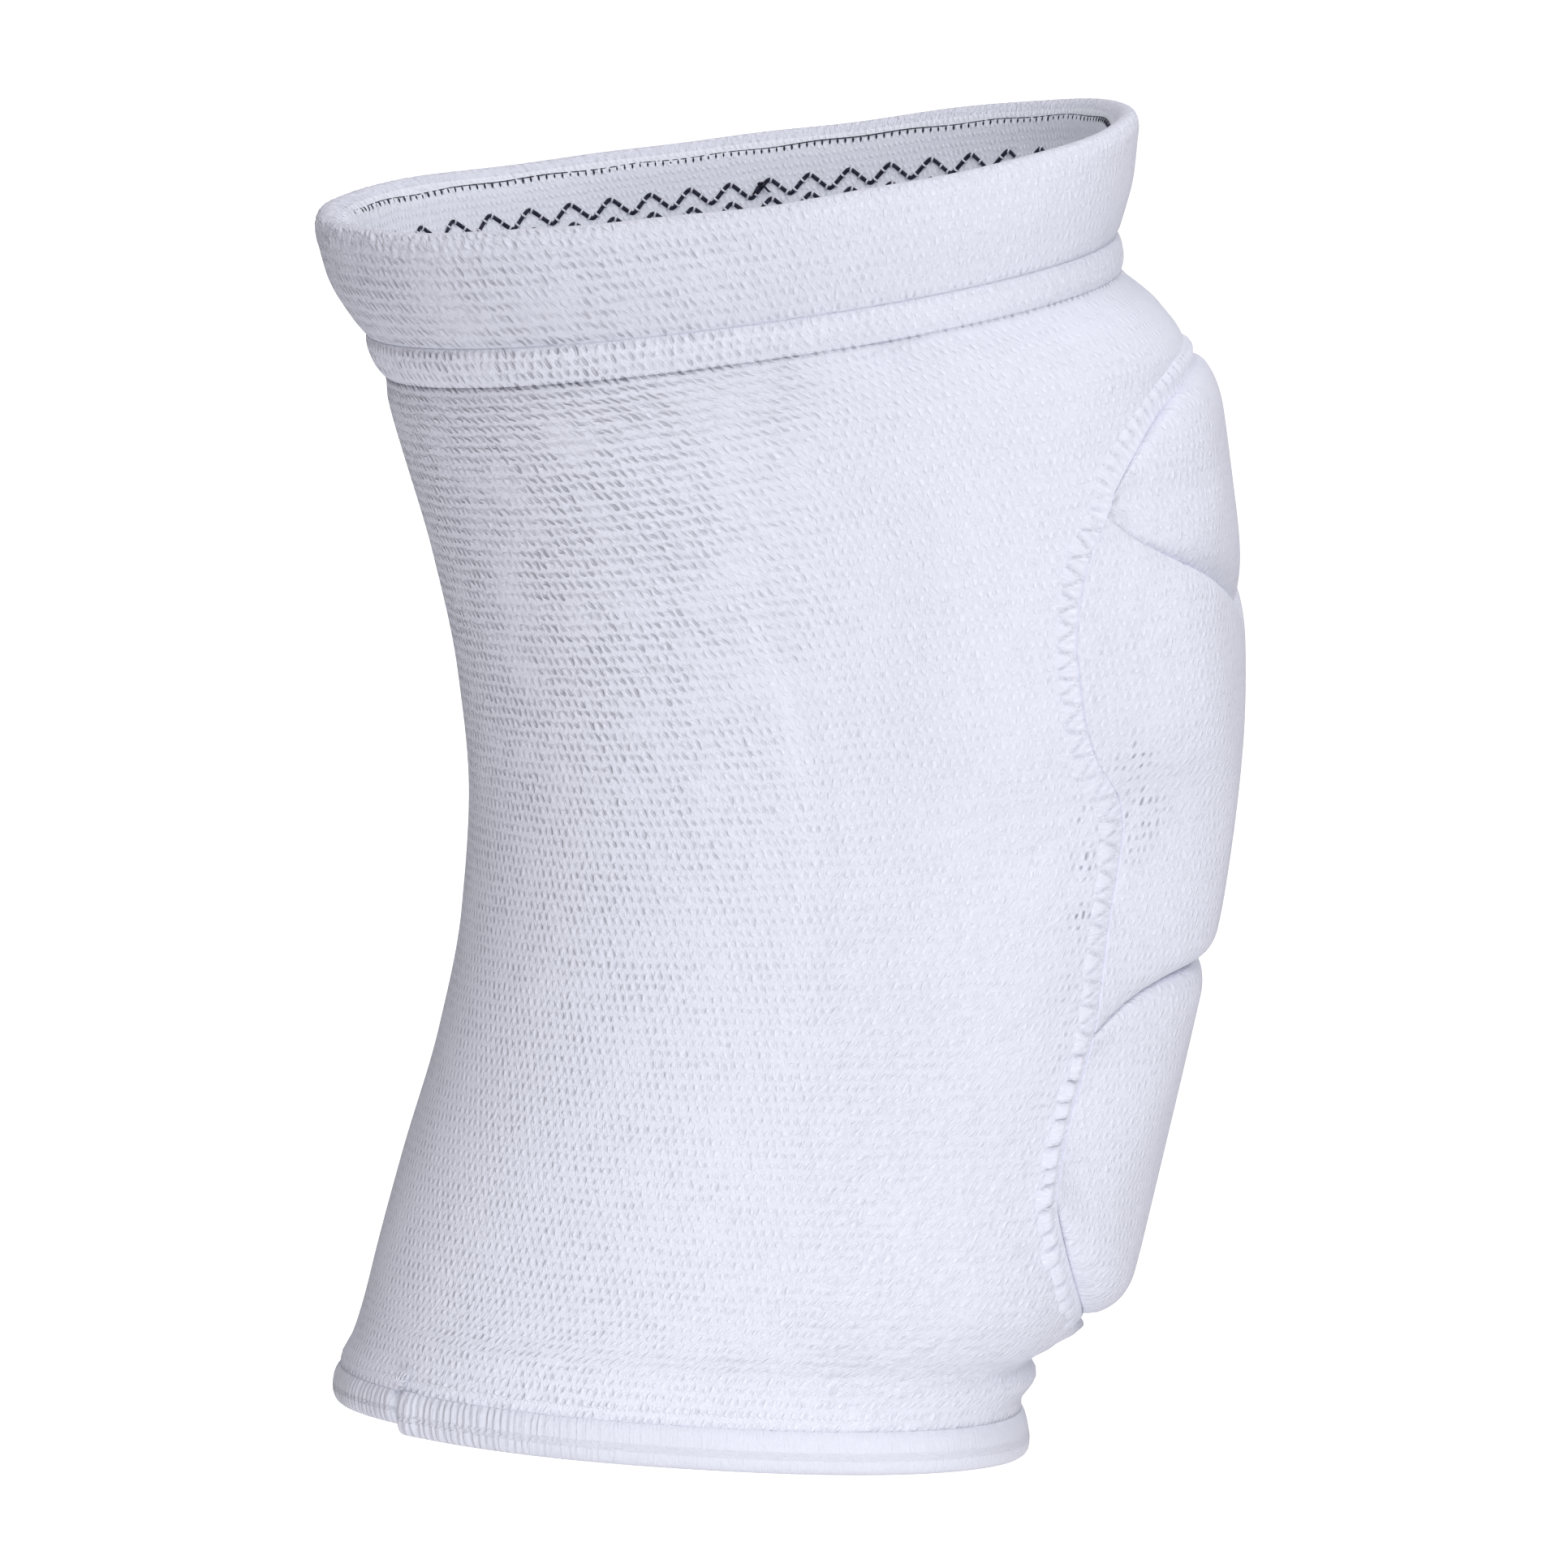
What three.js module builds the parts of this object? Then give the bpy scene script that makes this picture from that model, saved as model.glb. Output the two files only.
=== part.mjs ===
// A volleyball knee pad in the form it takes when worn: a knitted sleeve for the knee with a
// folded cuff, a rolled hem, and three foam pads sewn to its front under a beaded seam.
// Millimetres. +Z runs up the leg and +X points out of the kneecap. The origin is in the middle
// of the hollow, at the height of the kneecap.
import * as THREE from 'three';

// Driving sizes of the knitted tube
const height = 195.6; // from the hem's seam to the crest of the cuff
const depth = 132.8; // front to back at the cuff's crest
const width = 108; // side to side at the cuff's crest
const sleeveWall = 3;
const clearance = 0.3; // left between two pieces that are sewn together

// Driving sizes of the cuff and the tuck under it
const cuffHeight = 18.6;
const cuffWall = 5;
const cuffLip = 4; // height of the rounded lip
const ribHeight = 5.2;
const ribWall = 1.9;
const ribSunk = 1.7; // how far the sleeve is drawn in behind the rib

// Driving sizes of the hem
const hemHeight = 7.6;
const hemWall = 5;
const hemBulge = 1.3; // how far its roll stands out past the sleeve
const hemStep = 1.5; // how much higher one lapped end sits than the other

// Driving sizes of the pads and the seam round them
const padThickness = 11.4;
const padSeat = 0.45; // from the sleeve's face to the foam, as both are faceted
const creaseWidth = 0.9; // between one pad and the next
const creaseRound = 3.5; // width of the rounded edge beside a crease
const endRound = 6; // width of the rounded edge at the top and foot of the pads
const sideRound = 13; // width of the rounded edge beside the seam
const weltWidth = 4.2;
const weltHeight = 2.6;
const beadPitch = 4.4;
const waist = 0.74; // thickness between two beads, as a share of a bead's

// Driving fineness of the meshes
const facetsAround = 44;
const sleeveLevels = 16;
const liningLevels = 11;
const lipFacets = 5;
const hemFacets = 8;
const padColumns = 15;
const padRows = 9;
const weltSides = 6;

// The outer face of the knit, level by level from the cuff's crest to the hem's foot.
// up is the level's height above the kneecap as a share of height; tilt is its slope towards
// the front in degrees; dish is how far its front and back ends curl up, as a share of height;
// back and front are its ends as shares of depth; half is its half width as a share of width;
// square and backSquare are how square its front and back are, from 2 for an ellipse; foam is
// how thick the pads are there as a share of padThickness.
const levels = [
  {
    name: 'crest', up: 0.492, tilt: 7.2, dish: 0.011,
    back: -0.604, front: 0.398, half: 0.5, square: 2.35, backSquare: 2.5, foam: 0,
  },
  {
    name: 'cuff', up: 0.445, tilt: 7.3, dish: 0.009,
    back: -0.581, front: 0.386, half: 0.491, square: 2.5, backSquare: 2.4, foam: 0,
  },
  {
    name: 'upper seam', up: 0.392, tilt: 7.6, dish: 0.006,
    back: -0.536, front: 0.371, half: 0.478, square: 2.4, backSquare: 2.3, foam: 0,
  },
  {
    name: 'lower seam', up: 0.365, tilt: 8.2, dish: 0.004,
    back: -0.517, front: 0.377, half: 0.472, square: 2.45, backSquare: 2.2, foam: 0,
  },
  {
    name: 'shoulder', up: 0.337, tilt: 8, dish: 0.001,
    back: -0.505, front: 0.42, half: 0.47, square: 2.6, backSquare: 2.2, foam: 0.3,
  },
  {
    name: 'pad crown', up: 0.307, tilt: 7.7, dish: 0,
    back: -0.492, front: 0.449, half: 0.469, square: 2.75, backSquare: 2.2, foam: 0.4,
  },
  {
    name: 'thigh', up: 0.215, tilt: 6.4, dish: 0,
    back: -0.456, front: 0.453, half: 0.466, square: 2.8, backSquare: 2.2, foam: 0.6,
  },
  {
    name: 'above knee', up: 0.107, tilt: 4.8, dish: 0,
    back: -0.426, front: 0.446, half: 0.463, square: 2.8, backSquare: 2.2, foam: 0.88,
  },
  {
    name: 'kneecap', up: 0, tilt: 3.1, dish: 0,
    back: -0.413, front: 0.434, half: 0.459, square: 2.8, backSquare: 2.2, foam: 0.99,
  },
  {
    name: 'below knee', up: -0.107, tilt: 1.4, dish: 0,
    back: -0.422, front: 0.413, half: 0.45, square: 2.8, backSquare: 2.2, foam: 0.98,
  },
  {
    name: 'shin', up: -0.215, tilt: -0.3, dish: 0,
    back: -0.45, front: 0.38, half: 0.437, square: 2.8, backSquare: 2.2, foam: 0.87,
  },
  {
    name: 'calf', up: -0.322, tilt: -1.8, dish: 0,
    back: -0.493, front: 0.351, half: 0.42, square: 2.7, backSquare: 2.2, foam: 0.72,
  },
  {
    name: 'pad foot', up: -0.409, tilt: -3, dish: 0,
    back: -0.525, front: 0.337, half: 0.404, square: 2.6, backSquare: 2.2, foam: 0.54,
  },
  {
    name: 'tuck', up: -0.45, tilt: -3.4, dish: 0.001,
    back: -0.539, front: 0.3, half: 0.396, square: 2.5, backSquare: 2.2, foam: 0.45,
  },
  {
    name: 'neck', up: -0.472, tilt: -3.6, dish: 0.002,
    back: -0.548, front: 0.249, half: 0.393, square: 2.4, backSquare: 2.2, foam: 0,
  },
  {
    name: 'hem seam', up: -0.508, tilt: -3.7, dish: 0.004,
    back: -0.564, front: 0.249, half: 0.389, square: 2.4, backSquare: 2.2, foam: 0,
  },
  {
    name: 'hem foot', up: -0.547, tilt: -3.7, dish: 0.004,
    back: -0.571, front: 0.257, half: 0.389, square: 2.4, backSquare: 2.2, foam: 0,
  },
];

// The seam beside the pads: how far round from the kneecap it runs, in degrees, on each side
const seamLine = [
  { up: 0.215, angle: 41 },
  { up: 0.174, angle: 46 },
  { up: 0.118, angle: 48.2 },
  { up: 0.061, angle: 47 },
  { up: 0.02, angle: 44 },
  { up: -0.015, angle: 38.4 },
  { up: -0.046, angle: 36.7 },
  { up: -0.102, angle: 37.1 },
  { up: -0.153, angle: 36 },
  { up: -0.194, angle: 34.7 },
  { up: -0.256, angle: 35.7 },
  { up: -0.337, angle: 34 },
];

// The lines that end the pads. middleUp and sideUp are heights as shares of height, over the
// kneecap and at the seam; bow is how late the line leaves the middle height. room is what is
// kept clear of the foam there, round is how wide the foam's rounded edge is, and edgeShare is
// the share of its thickness that it has at that edge.
const weltRoom = weltWidth / 2 + clearance;
const creaseRoom = creaseWidth / 2;
const padLines = {
  crown: {
    middleUp: 0.303, sideUp: 0.227, bow: 3.3, room: weltRoom, round: endRound, edgeShare: 0.2,
  },
  upperCrease: {
    middleUp: 0.101, sideUp: 0.208, bow: 1.25, room: creaseRoom, round: creaseRound, edgeShare: 0.75,
  },
  lowerCrease: {
    middleUp: -0.153, sideUp: -0.197, bow: 4, room: creaseRoom, round: creaseRound, edgeShare: 0.8,
  },
  foot: {
    middleUp: -0.439, sideUp: -0.337, bow: 2.8, room: weltRoom, round: endRound, edgeShare: 0.2,
  },
};
const sideEdgeShare = 0.15;

// The pads from the top down, each between two of those lines
const pads = [
  { name: 'pad_upper', from: padLines.crown, to: padLines.upperCrease },
  { name: 'pad_middle', from: padLines.upperCrease, to: padLines.lowerCrease },
  { name: 'pad_lower', from: padLines.lowerCrease, to: padLines.foot },
];

// Dents and folds of the sleeve: where each lies (up as a share of height, angle in degrees),
// how far the knit rises there as a share of sleeveWall, how tall the fold is as a share of
// height, and how many degrees it spans
const folds = [
  { name: 'near pinch', up: -0.03, angle: 52, riseShare: -0.5, tallShare: 0.04, span: 10 },
  { name: 'far pinch', up: -0.03, angle: -52, riseShare: -0.5, tallShare: 0.04, span: 10 },
  { name: 'near bulge', up: 0.1, angle: 75, riseShare: 0.25, tallShare: 0.08, span: 11 },
  { name: 'far bulge', up: 0.1, angle: -75, riseShare: 0.25, tallShare: 0.08, span: 11 },
  { name: 'cuff dimple', up: 0.34, angle: 74, riseShare: -0.35, tallShare: 0.02, span: 8 },
  { name: 'near shin crease', up: -0.25, angle: 110, riseShare: -0.3, tallShare: 0.025, span: 26 },
  { name: 'near calf bulge', up: -0.36, angle: 100, riseShare: 0.25, tallShare: 0.06, span: 26 },
  { name: 'far calf bulge', up: -0.36, angle: -100, riseShare: 0.25, tallShare: 0.06, span: 26 },
];

// The outer faces of the cuff, upwards from its seam to its lip, and of the tuck, downwards:
// along is the share of the way, and out how far the face stands there as a share of its wall
const cuffFace = [
  { along: 0, out: -0.25 },
  { along: 0.15, out: 0.04 },
  { along: 0.55, out: 0.08 },
];
const ribFace = [
  { along: 0, out: 0 },
  { along: 0.04, out: 0.45 },
  { along: 0.3, out: 1 },
  { along: 0.7, out: 1 },
  { along: 0.96, out: 0.45 },
  { along: 1, out: 0 },
];

// Where the hem's ends lap, how far round the higher end takes to come level, and how far round
// the step itself goes, in degrees
const hemLap = { angle: 150, blend: 130, edge: 1.2 };
const hemSquare = 0.7; // below 1, so that the roll's section is squarer than an oval

// How full the seam's welt is, as a share of weltHeight: flat over the pads' crown, and bunched
// from this share of the way down to their foot
const weltFlat = 0.45;
const weltBunched = 1.15;
const weltBunchedDown = 0.5;

const degrees = THREE.MathUtils.degToRad;
const crestUp = levels[0].up;
const seamUp = crestUp - cuffHeight / height;
const sleeveTopUp = seamUp - clearance / height;
const hemTopUp = levels.find((level) => level.name === 'hem seam').up;
const sleeveFootUp = hemTopUp + clearance / height;

// The slopes of a curve through a table's rows that never overshoots a row
function rowSlopes(table, key) {
  const rises = [];
  for (let i = 0; i + 1 < table.length; i += 1) {
    rises.push((table[i + 1][key] - table[i][key]) / (table[i + 1].up - table[i].up));
  }
  return table.map((row, i) => {
    const before = rises[Math.max(i - 1, 0)];
    const after = rises[Math.min(i, rises.length - 1)];
    return before * after > 0 ? (2 * before * after) / (before + after) : 0;
  });
}

// A column of a table read at any height, on a smooth curve through its rows
const slopeTables = new Map();
function read(table, key, up) {
  if (!slopeTables.has(table)) {
    slopeTables.set(table, {});
  }
  const slopes = slopeTables.get(table);
  slopes[key] ??= rowSlopes(table, key);
  const at = THREE.MathUtils.clamp(up, table.at(-1).up, table[0].up);
  let i = 0;
  while (i + 2 < table.length && table[i + 1].up > at) {
    i += 1;
  }
  const span = table[i + 1].up - table[i].up;
  const t = (at - table[i].up) / span;
  const ease = t * t * (3 - 2 * t);
  const leave = t * (1 - t) * (1 - t) * span * slopes[key][i];
  const arrive = t * t * (t - 1) * span * slopes[key][i + 1];
  return table[i][key] * (1 - ease) + table[i + 1][key] * ease + leave + arrive;
}

// A point of the knit at a height and an angle from the kneecap, the near side positive, and
// a distance outwards from the outer face
function skin(up, angle, outset) {
  const tilt = degrees(read(levels, 'tilt', up));
  const back = read(levels, 'back', up) * depth;
  const front = read(levels, 'front', up) * depth;
  const reach = (front - back) / 2 / Math.cos(tilt);
  const half = read(levels, 'half', up) * width;
  const mix = (1 + Math.cos(angle)) / 2;
  const square = THREE.MathUtils.lerp(read(levels, 'backSquare', up), read(levels, 'square', up), mix);
  const alongShare = Math.abs(Math.cos(angle) / reach);
  const asideShare = Math.abs(Math.sin(angle) / half);
  const radius = (alongShare ** square + asideShare ** square) ** (-1 / square);
  const along = radius * Math.cos(angle);
  const aside = -radius * Math.sin(angle);
  const outAlong = (Math.sign(along) * Math.abs(along / reach) ** (square - 1)) / reach;
  const outAside = (Math.sign(aside) * Math.abs(aside / half) ** (square - 1)) / half;
  const out = outset / Math.hypot(outAlong, outAside);
  const s = along + out * outAlong;
  const x = (front + back) / 2 + s * Math.cos(tilt);
  const curl = read(levels, 'dish', up) * height * (along / reach) ** 2;
  const z = up * height + s * Math.sin(tilt) + curl;
  return new THREE.Vector3(x, aside + out * outAside, z);
}

// A smooth bump, 1 in its middle and nothing past twice its size
function bump(distance, size) {
  const t = Math.min(Math.abs(distance) / (2 * size), 1);
  return (1 - t * t) ** 2;
}

// How far the sleeve's dents and folds move its outer face
function foldRise(up, angle) {
  let rise = 0;
  for (const fold of folds) {
    const off = angle - degrees(fold.angle);
    const turn = THREE.MathUtils.euclideanModulo(off + Math.PI, 2 * Math.PI) - Math.PI;
    const share = bump(up - fold.up, fold.tallShare) * bump(turn, degrees(fold.span));
    rise += fold.riseShare * sleeveWall * share;
  }
  return rise;
}

function anglesAround(count, extra) {
  const angles = Array.from({ length: count }, (unused, i) => (2 * Math.PI * i) / count);
  return angles.concat(extra).sort((a, b) => a - b);
}

// A closed body through rings of points, each joined to the next and the last to the first
function ringBody(rings) {
  const count = rings[0].length;
  const indices = [];
  for (let i = 0; i < rings.length; i += 1) {
    const here = i * count;
    const next = ((i + 1) % rings.length) * count;
    for (let j = 0; j < count; j += 1) {
      const k = (j + 1) % count;
      indices.push(here + j, next + k, next + j);
      indices.push(here + j, here + k, next + k);
    }
  }
  return bodyFrom(rings.flat(), indices);
}

function bodyFrom(points, indices) {
  const geometry = new THREE.BufferGeometry().setFromPoints(points);
  geometry.setIndex(indices);
  geometry.computeVertexNormals();
  return geometry;
}

// A band of the knit, closed through stations of { up, outset } round its thickness
function bandBody(stations, angles) {
  const rings = stations.map((station) => angles.map((angle) => {
    const lift = station.lift ? station.lift(angle) : 0;
    const fold = station.folds ? foldRise(station.up, angle) : 0;
    return skin(station.up + lift, angle, station.outset + fold);
  }));
  return ringBody(rings);
}

// A share from 0 to 1, its even steps drawn together a little at both ends
const gather = 0.3;
function gathered(share) {
  return THREE.MathUtils.lerp(share, (1 - Math.cos(Math.PI * share)) / 2, gather);
}

// The sleeve: its outer face downwards, then its inner face upwards, with the outer face drawn
// in where the rib lies and stepping out under it, and the inner face drawn in near the top
const stepOut = 0.25; // height of that step, as a share of a level's
const drawnLate = 6;
function sleeveGeometry() {
  const ribFootUp = sleeveTopUp - ribHeight / height;
  const drawnUp = ribFootUp - clearance / height;
  const stations = [];
  for (const share of [0, 0.5, 1]) {
    const up = THREE.MathUtils.lerp(sleeveTopUp, drawnUp, share);
    stations.push({ up, outset: -ribSunk });
  }
  for (let i = 0; i < sleeveLevels; i += 1) {
    const share = gathered((i + stepOut) / (sleeveLevels - 1 + stepOut));
    stations.push({ up: THREE.MathUtils.lerp(drawnUp, sleeveFootUp, share), outset: 0, folds: true });
  }
  for (let i = 0; i < liningLevels; i += 1) {
    const share = i / (liningLevels - 1);
    const up = THREE.MathUtils.lerp(sleeveFootUp, sleeveTopUp, share);
    stations.push({ up, outset: -sleeveWall - ribSunk * share ** drawnLate });
  }
  return bandBody(stations, anglesAround(facetsAround, []));
}

// The cuff: up its outer face, over the rounded lip and down its inner face
function cuffGeometry() {
  const lipUp = crestUp - cuffLip / height;
  const stations = cuffFace.map(({ along, out }) => (
    { up: THREE.MathUtils.lerp(seamUp, lipUp, along), outset: out * cuffWall }
  ));
  for (let i = 0; i <= lipFacets; i += 1) {
    const turn = (Math.PI * i) / lipFacets;
    stations.push({
      up: lipUp + (cuffLip / height) * Math.sin(turn),
      outset: (cuffWall / 2) * (Math.cos(turn) - 1),
    });
  }
  stations.push({ up: (seamUp + lipUp) / 2, outset: -cuffWall });
  stations.push({ up: seamUp, outset: -cuffWall });
  return bandBody(stations.reverse(), anglesAround(facetsAround, []));
}

// The tuck of knit between the two seam lines, round on its outer face
function ribGeometry() {
  const topUp = sleeveTopUp;
  const footUp = topUp - ribHeight / height;
  const stations = ribFace.map(({ along, out }) => (
    { up: THREE.MathUtils.lerp(topUp, footUp, along), outset: clearance - ribSunk + out * ribWall }
  ));
  return bandBody(stations, anglesAround(facetsAround, []));
}

// The hem: an oval roll all round the foot, one lapped end stepped up past the other
function hemGeometry() {
  const lift = (angle) => {
    const past = (angle - degrees(hemLap.angle)) / degrees(hemLap.blend);
    return past > 0 && past < 1 ? ((hemStep / height) * (1 - past)) : 0;
  };
  const middleUp = hemTopUp - hemHeight / 2 / height;
  const stations = [];
  for (let i = 0; i < hemFacets; i += 1) {
    const turn = (2 * Math.PI * (i + 0.5)) / hemFacets;
    const rise = Math.sign(Math.sin(turn)) * Math.abs(Math.sin(turn)) ** hemSquare;
    const out = Math.sign(Math.cos(turn)) * Math.abs(Math.cos(turn)) ** hemSquare;
    stations.push({
      up: middleUp + (hemHeight / 2 / height) * rise,
      outset: hemBulge - hemWall / 2 + (hemWall / 2) * out,
      lift: rise > 0 ? undefined : lift,
    });
  }
  const edge = [degrees(hemLap.angle - hemLap.edge), degrees(hemLap.angle + hemLap.edge)];
  return bandBody(stations.reverse(), anglesAround(facetsAround, edge));
}

// The height of a pad line at a share of the way from the kneecap to the seam
function lineUp(line, across) {
  return line.middleUp + (line.sideUp - line.middleUp) * Math.abs(across) ** line.bow;
}

const seamAngle = (up) => degrees(read(seamLine, 'angle', up));

// A quarter-round rise from a share at an edge to 1 at a distance from it
function rounded(distance, size, edgeShare) {
  const t = 1 - THREE.MathUtils.clamp(distance / size, 0, 1);
  return THREE.MathUtils.lerp(edgeShare, 1, Math.sqrt(1 - t * t));
}

// A foam pad: a slab on the sleeve's outer face between two lines and the seam, full in the
// middle, rounded down to the seam, and with a shorter round beside a crease
function padGeometry(pad) {
  const outer = [];
  const inner = [];
  for (let i = 0; i <= padRows; i += 1) {
    for (let j = 0; j <= padColumns; j += 1) {
      const across = 2 * gathered(j / padColumns) - 1;
      const topUp = lineUp(pad.from, across) - pad.from.room / height;
      const footUp = lineUp(pad.to, across) + pad.to.room / height;
      const up = THREE.MathUtils.lerp(topUp, footUp, gathered(i / padRows));
      const edgeAngle = seamAngle(up) - weltRoom / (width / 2);
      const fromSide = (1 - Math.abs(across)) * edgeAngle * (width / 2);
      const share = read(levels, 'foam', up)
        * rounded((topUp - up) * height, pad.from.round, pad.from.edgeShare)
        * rounded((up - footUp) * height, pad.to.round, pad.to.edgeShare)
        * rounded(fromSide, sideRound, sideEdgeShare);
      inner.push(skin(up, across * edgeAngle, padSeat));
      outer.push(skin(up, across * edgeAngle, padSeat + padThickness * share));
    }
  }
  return slabBody(outer, inner, padRows + 1, padColumns + 1);
}

// A closed slab between two grids of points with the same rows and columns
function slabBody(outer, inner, rows, columns) {
  const indices = [];
  const total = rows * columns;
  for (let i = 0; i + 1 < rows; i += 1) {
    for (let j = 0; j + 1 < columns; j += 1) {
      const a = i * columns + j;
      const b = a + columns;
      indices.push(a, a + 1, b + 1, a, b + 1, b);
      indices.push(total + a, total + b + 1, total + a + 1, total + a, total + b, total + b + 1);
    }
  }
  const border = [];
  for (let j = 0; j + 1 < columns; j += 1) {
    border.push(j);
  }
  for (let i = 0; i + 1 < rows; i += 1) {
    border.push(i * columns + columns - 1);
  }
  for (let j = columns - 1; j > 0; j -= 1) {
    border.push((rows - 1) * columns + j);
  }
  for (let i = rows - 1; i > 0; i -= 1) {
    border.push(i * columns);
  }
  border.forEach((here, i) => {
    const next = border[(i + 1) % border.length];
    indices.push(here, total + here, total + next, here, total + next, next);
  });
  return bodyFrom(outer.concat(inner), indices);
}

// The seam's path round all three pads as stations of { up, angle }, starting over the kneecap
function seamPath() {
  const steps = 24;
  const near = [];
  for (let i = 0; i < steps; i += 1) {
    const across = Math.sin((Math.PI / 2) * (i / steps));
    const up = lineUp(padLines.crown, across);
    near.push({ up, angle: across * seamAngle(up) });
  }
  for (let i = 0; i <= steps; i += 1) {
    const up = THREE.MathUtils.lerp(padLines.crown.sideUp, padLines.foot.sideUp, i / steps);
    near.push({ up, angle: seamAngle(up) });
  }
  for (let i = steps - 1; i >= 0; i -= 1) {
    const across = Math.sin((Math.PI / 2) * (i / steps));
    const up = lineUp(padLines.foot, across);
    near.push({ up, angle: across * seamAngle(up) });
  }
  const far = near.slice(1, -1).reverse().map(({ up, angle }) => ({ up, angle: -angle }));
  return near.concat(far);
}

// How full the welt is at a height
function weltFullness(up) {
  const down = (padLines.crown.middleUp - up) / (padLines.crown.middleUp - padLines.foot.middleUp);
  const bunching = THREE.MathUtils.smoothstep(down, 0, weltBunchedDown);
  return THREE.MathUtils.lerp(weltFlat, weltBunched, bunching);
}

// The seam's welt: a flat tube round the path, thick and thin in turn, so that it is beaded
function weltGeometry() {
  const path = seamPath();
  const points = path.map(({ up, angle }) => skin(up, angle, 0));
  const travelled = [0];
  points.forEach((point, i) => {
    travelled.push(travelled[i] + point.distanceTo(points[(i + 1) % points.length]));
  });
  const ringCount = 2 * Math.round(travelled.at(-1) / beadPitch);
  const stations = [];
  let leg = 0;
  for (let i = 0; i < ringCount; i += 1) {
    const target = (travelled.at(-1) * i) / ringCount;
    while (travelled[leg + 1] < target) {
      leg += 1;
    }
    const share = (target - travelled[leg]) / (travelled[leg + 1] - travelled[leg]);
    const next = path[(leg + 1) % path.length];
    stations.push({
      up: THREE.MathUtils.lerp(path[leg].up, next.up, share),
      angle: THREE.MathUtils.lerp(path[leg].angle, next.angle, share),
    });
  }
  const centres = stations.map(({ up, angle }) => (
    skin(up, angle, clearance + weltFullness(up) * weltHeight / 2)
  ));
  const rings = stations.map(({ up, angle }, i) => {
    const ahead = centres[(i + 1) % ringCount].clone().sub(centres[(i + ringCount - 1) % ringCount]);
    const out = skin(up, angle, weltHeight).sub(skin(up, angle, 0));
    const aside = new THREE.Vector3().crossVectors(out, ahead).normalize();
    out.crossVectors(ahead, aside).normalize();
    const bead = i % 2 === 0 ? 1 : waist;
    const halfHeight = (weltHeight / 2) * weltFullness(up);
    return Array.from({ length: weltSides }, (unused, j) => {
      const turn = (2 * Math.PI * (j + 0.5)) / weltSides;
      const across = (weltWidth / 2) * bead * Math.cos(turn);
      const above = (halfHeight * bead * Math.sin(turn)) / Math.cos(Math.PI / weltSides);
      const sunk = halfHeight * (1 - bead);
      return centres[i].clone().addScaledVector(aside, across).addScaledVector(out, above - sunk);
    });
  });
  return ringBody(rings);
}

// Materials: white yarn with a cool tint, a little greyer where the knit is denser
function yarn(colour, roughness) {
  return new THREE.MeshStandardMaterial({ color: colour, roughness, metalness: 0 });
}

function piece(name, geometry, material) {
  const mesh = new THREE.Mesh(geometry, material);
  mesh.name = name;
  return mesh;
}

const sleeveGroup = new THREE.Group();
sleeveGroup.add(piece('sleeve', sleeveGeometry(), yarn(0xe6e8f4, 0.92)));
sleeveGroup.add(piece('top_cuff', cuffGeometry(), yarn(0xe8eaf6, 0.92)));
sleeveGroup.add(piece('cuff_seam_rib', ribGeometry(), yarn(0xe2e4f1, 0.94)));
sleeveGroup.add(piece('bottom_hem', hemGeometry(), yarn(0xdfe2f0, 0.88)));

const padGroup = new THREE.Group();
for (const pad of pads) {
  padGroup.add(piece(pad.name, padGeometry(pad), yarn(0xe9ebf7, 0.93)));
}
padGroup.add(piece('pad_seam', weltGeometry(), yarn(0xe4e6f3, 0.94)));

const kneePad = new THREE.Group();
kneePad.add(sleeveGroup, padGroup);

export default kneePad;
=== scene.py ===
"""A volleyball knee pad in its worn form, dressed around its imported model.

Metres, in the model's frame: +Z runs up the leg, +X points out of the kneecap, and the side
towards the camera is -Y. The file follows the pad as it is put together: the knitted sleeve,
its cuff and hem, the three foam pads, the seam round them, and the threads that hold it all.
"""

import bpy
import numpy as np
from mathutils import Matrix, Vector


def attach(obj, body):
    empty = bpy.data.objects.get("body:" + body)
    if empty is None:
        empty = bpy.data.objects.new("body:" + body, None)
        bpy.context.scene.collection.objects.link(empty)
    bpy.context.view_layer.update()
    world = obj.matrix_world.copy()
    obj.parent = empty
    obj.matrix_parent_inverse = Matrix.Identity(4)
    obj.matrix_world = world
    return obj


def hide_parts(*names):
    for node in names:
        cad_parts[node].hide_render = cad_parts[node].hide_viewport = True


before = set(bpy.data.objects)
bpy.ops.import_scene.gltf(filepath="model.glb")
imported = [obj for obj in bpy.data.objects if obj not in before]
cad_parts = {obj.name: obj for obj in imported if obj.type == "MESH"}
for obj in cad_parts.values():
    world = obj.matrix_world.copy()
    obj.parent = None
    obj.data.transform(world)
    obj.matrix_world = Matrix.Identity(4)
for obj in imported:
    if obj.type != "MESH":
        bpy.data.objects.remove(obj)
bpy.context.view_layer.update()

# The camera: a long way off, as a long lens sees a thing on a stand, and raised enough to look
# over the near side of the cuff, with 7.7 pixels of a 1932 pixel picture to a millimetre.
CAMERA_RAISED = np.radians(7.2)
CAMERA_AWAY = 8.0
LOOKS_AT = Vector((-0.0044, 0.0, -0.0021))
PIXELS_PER_METRE = 7700
PICTURE_PIXELS = 1932

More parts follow.
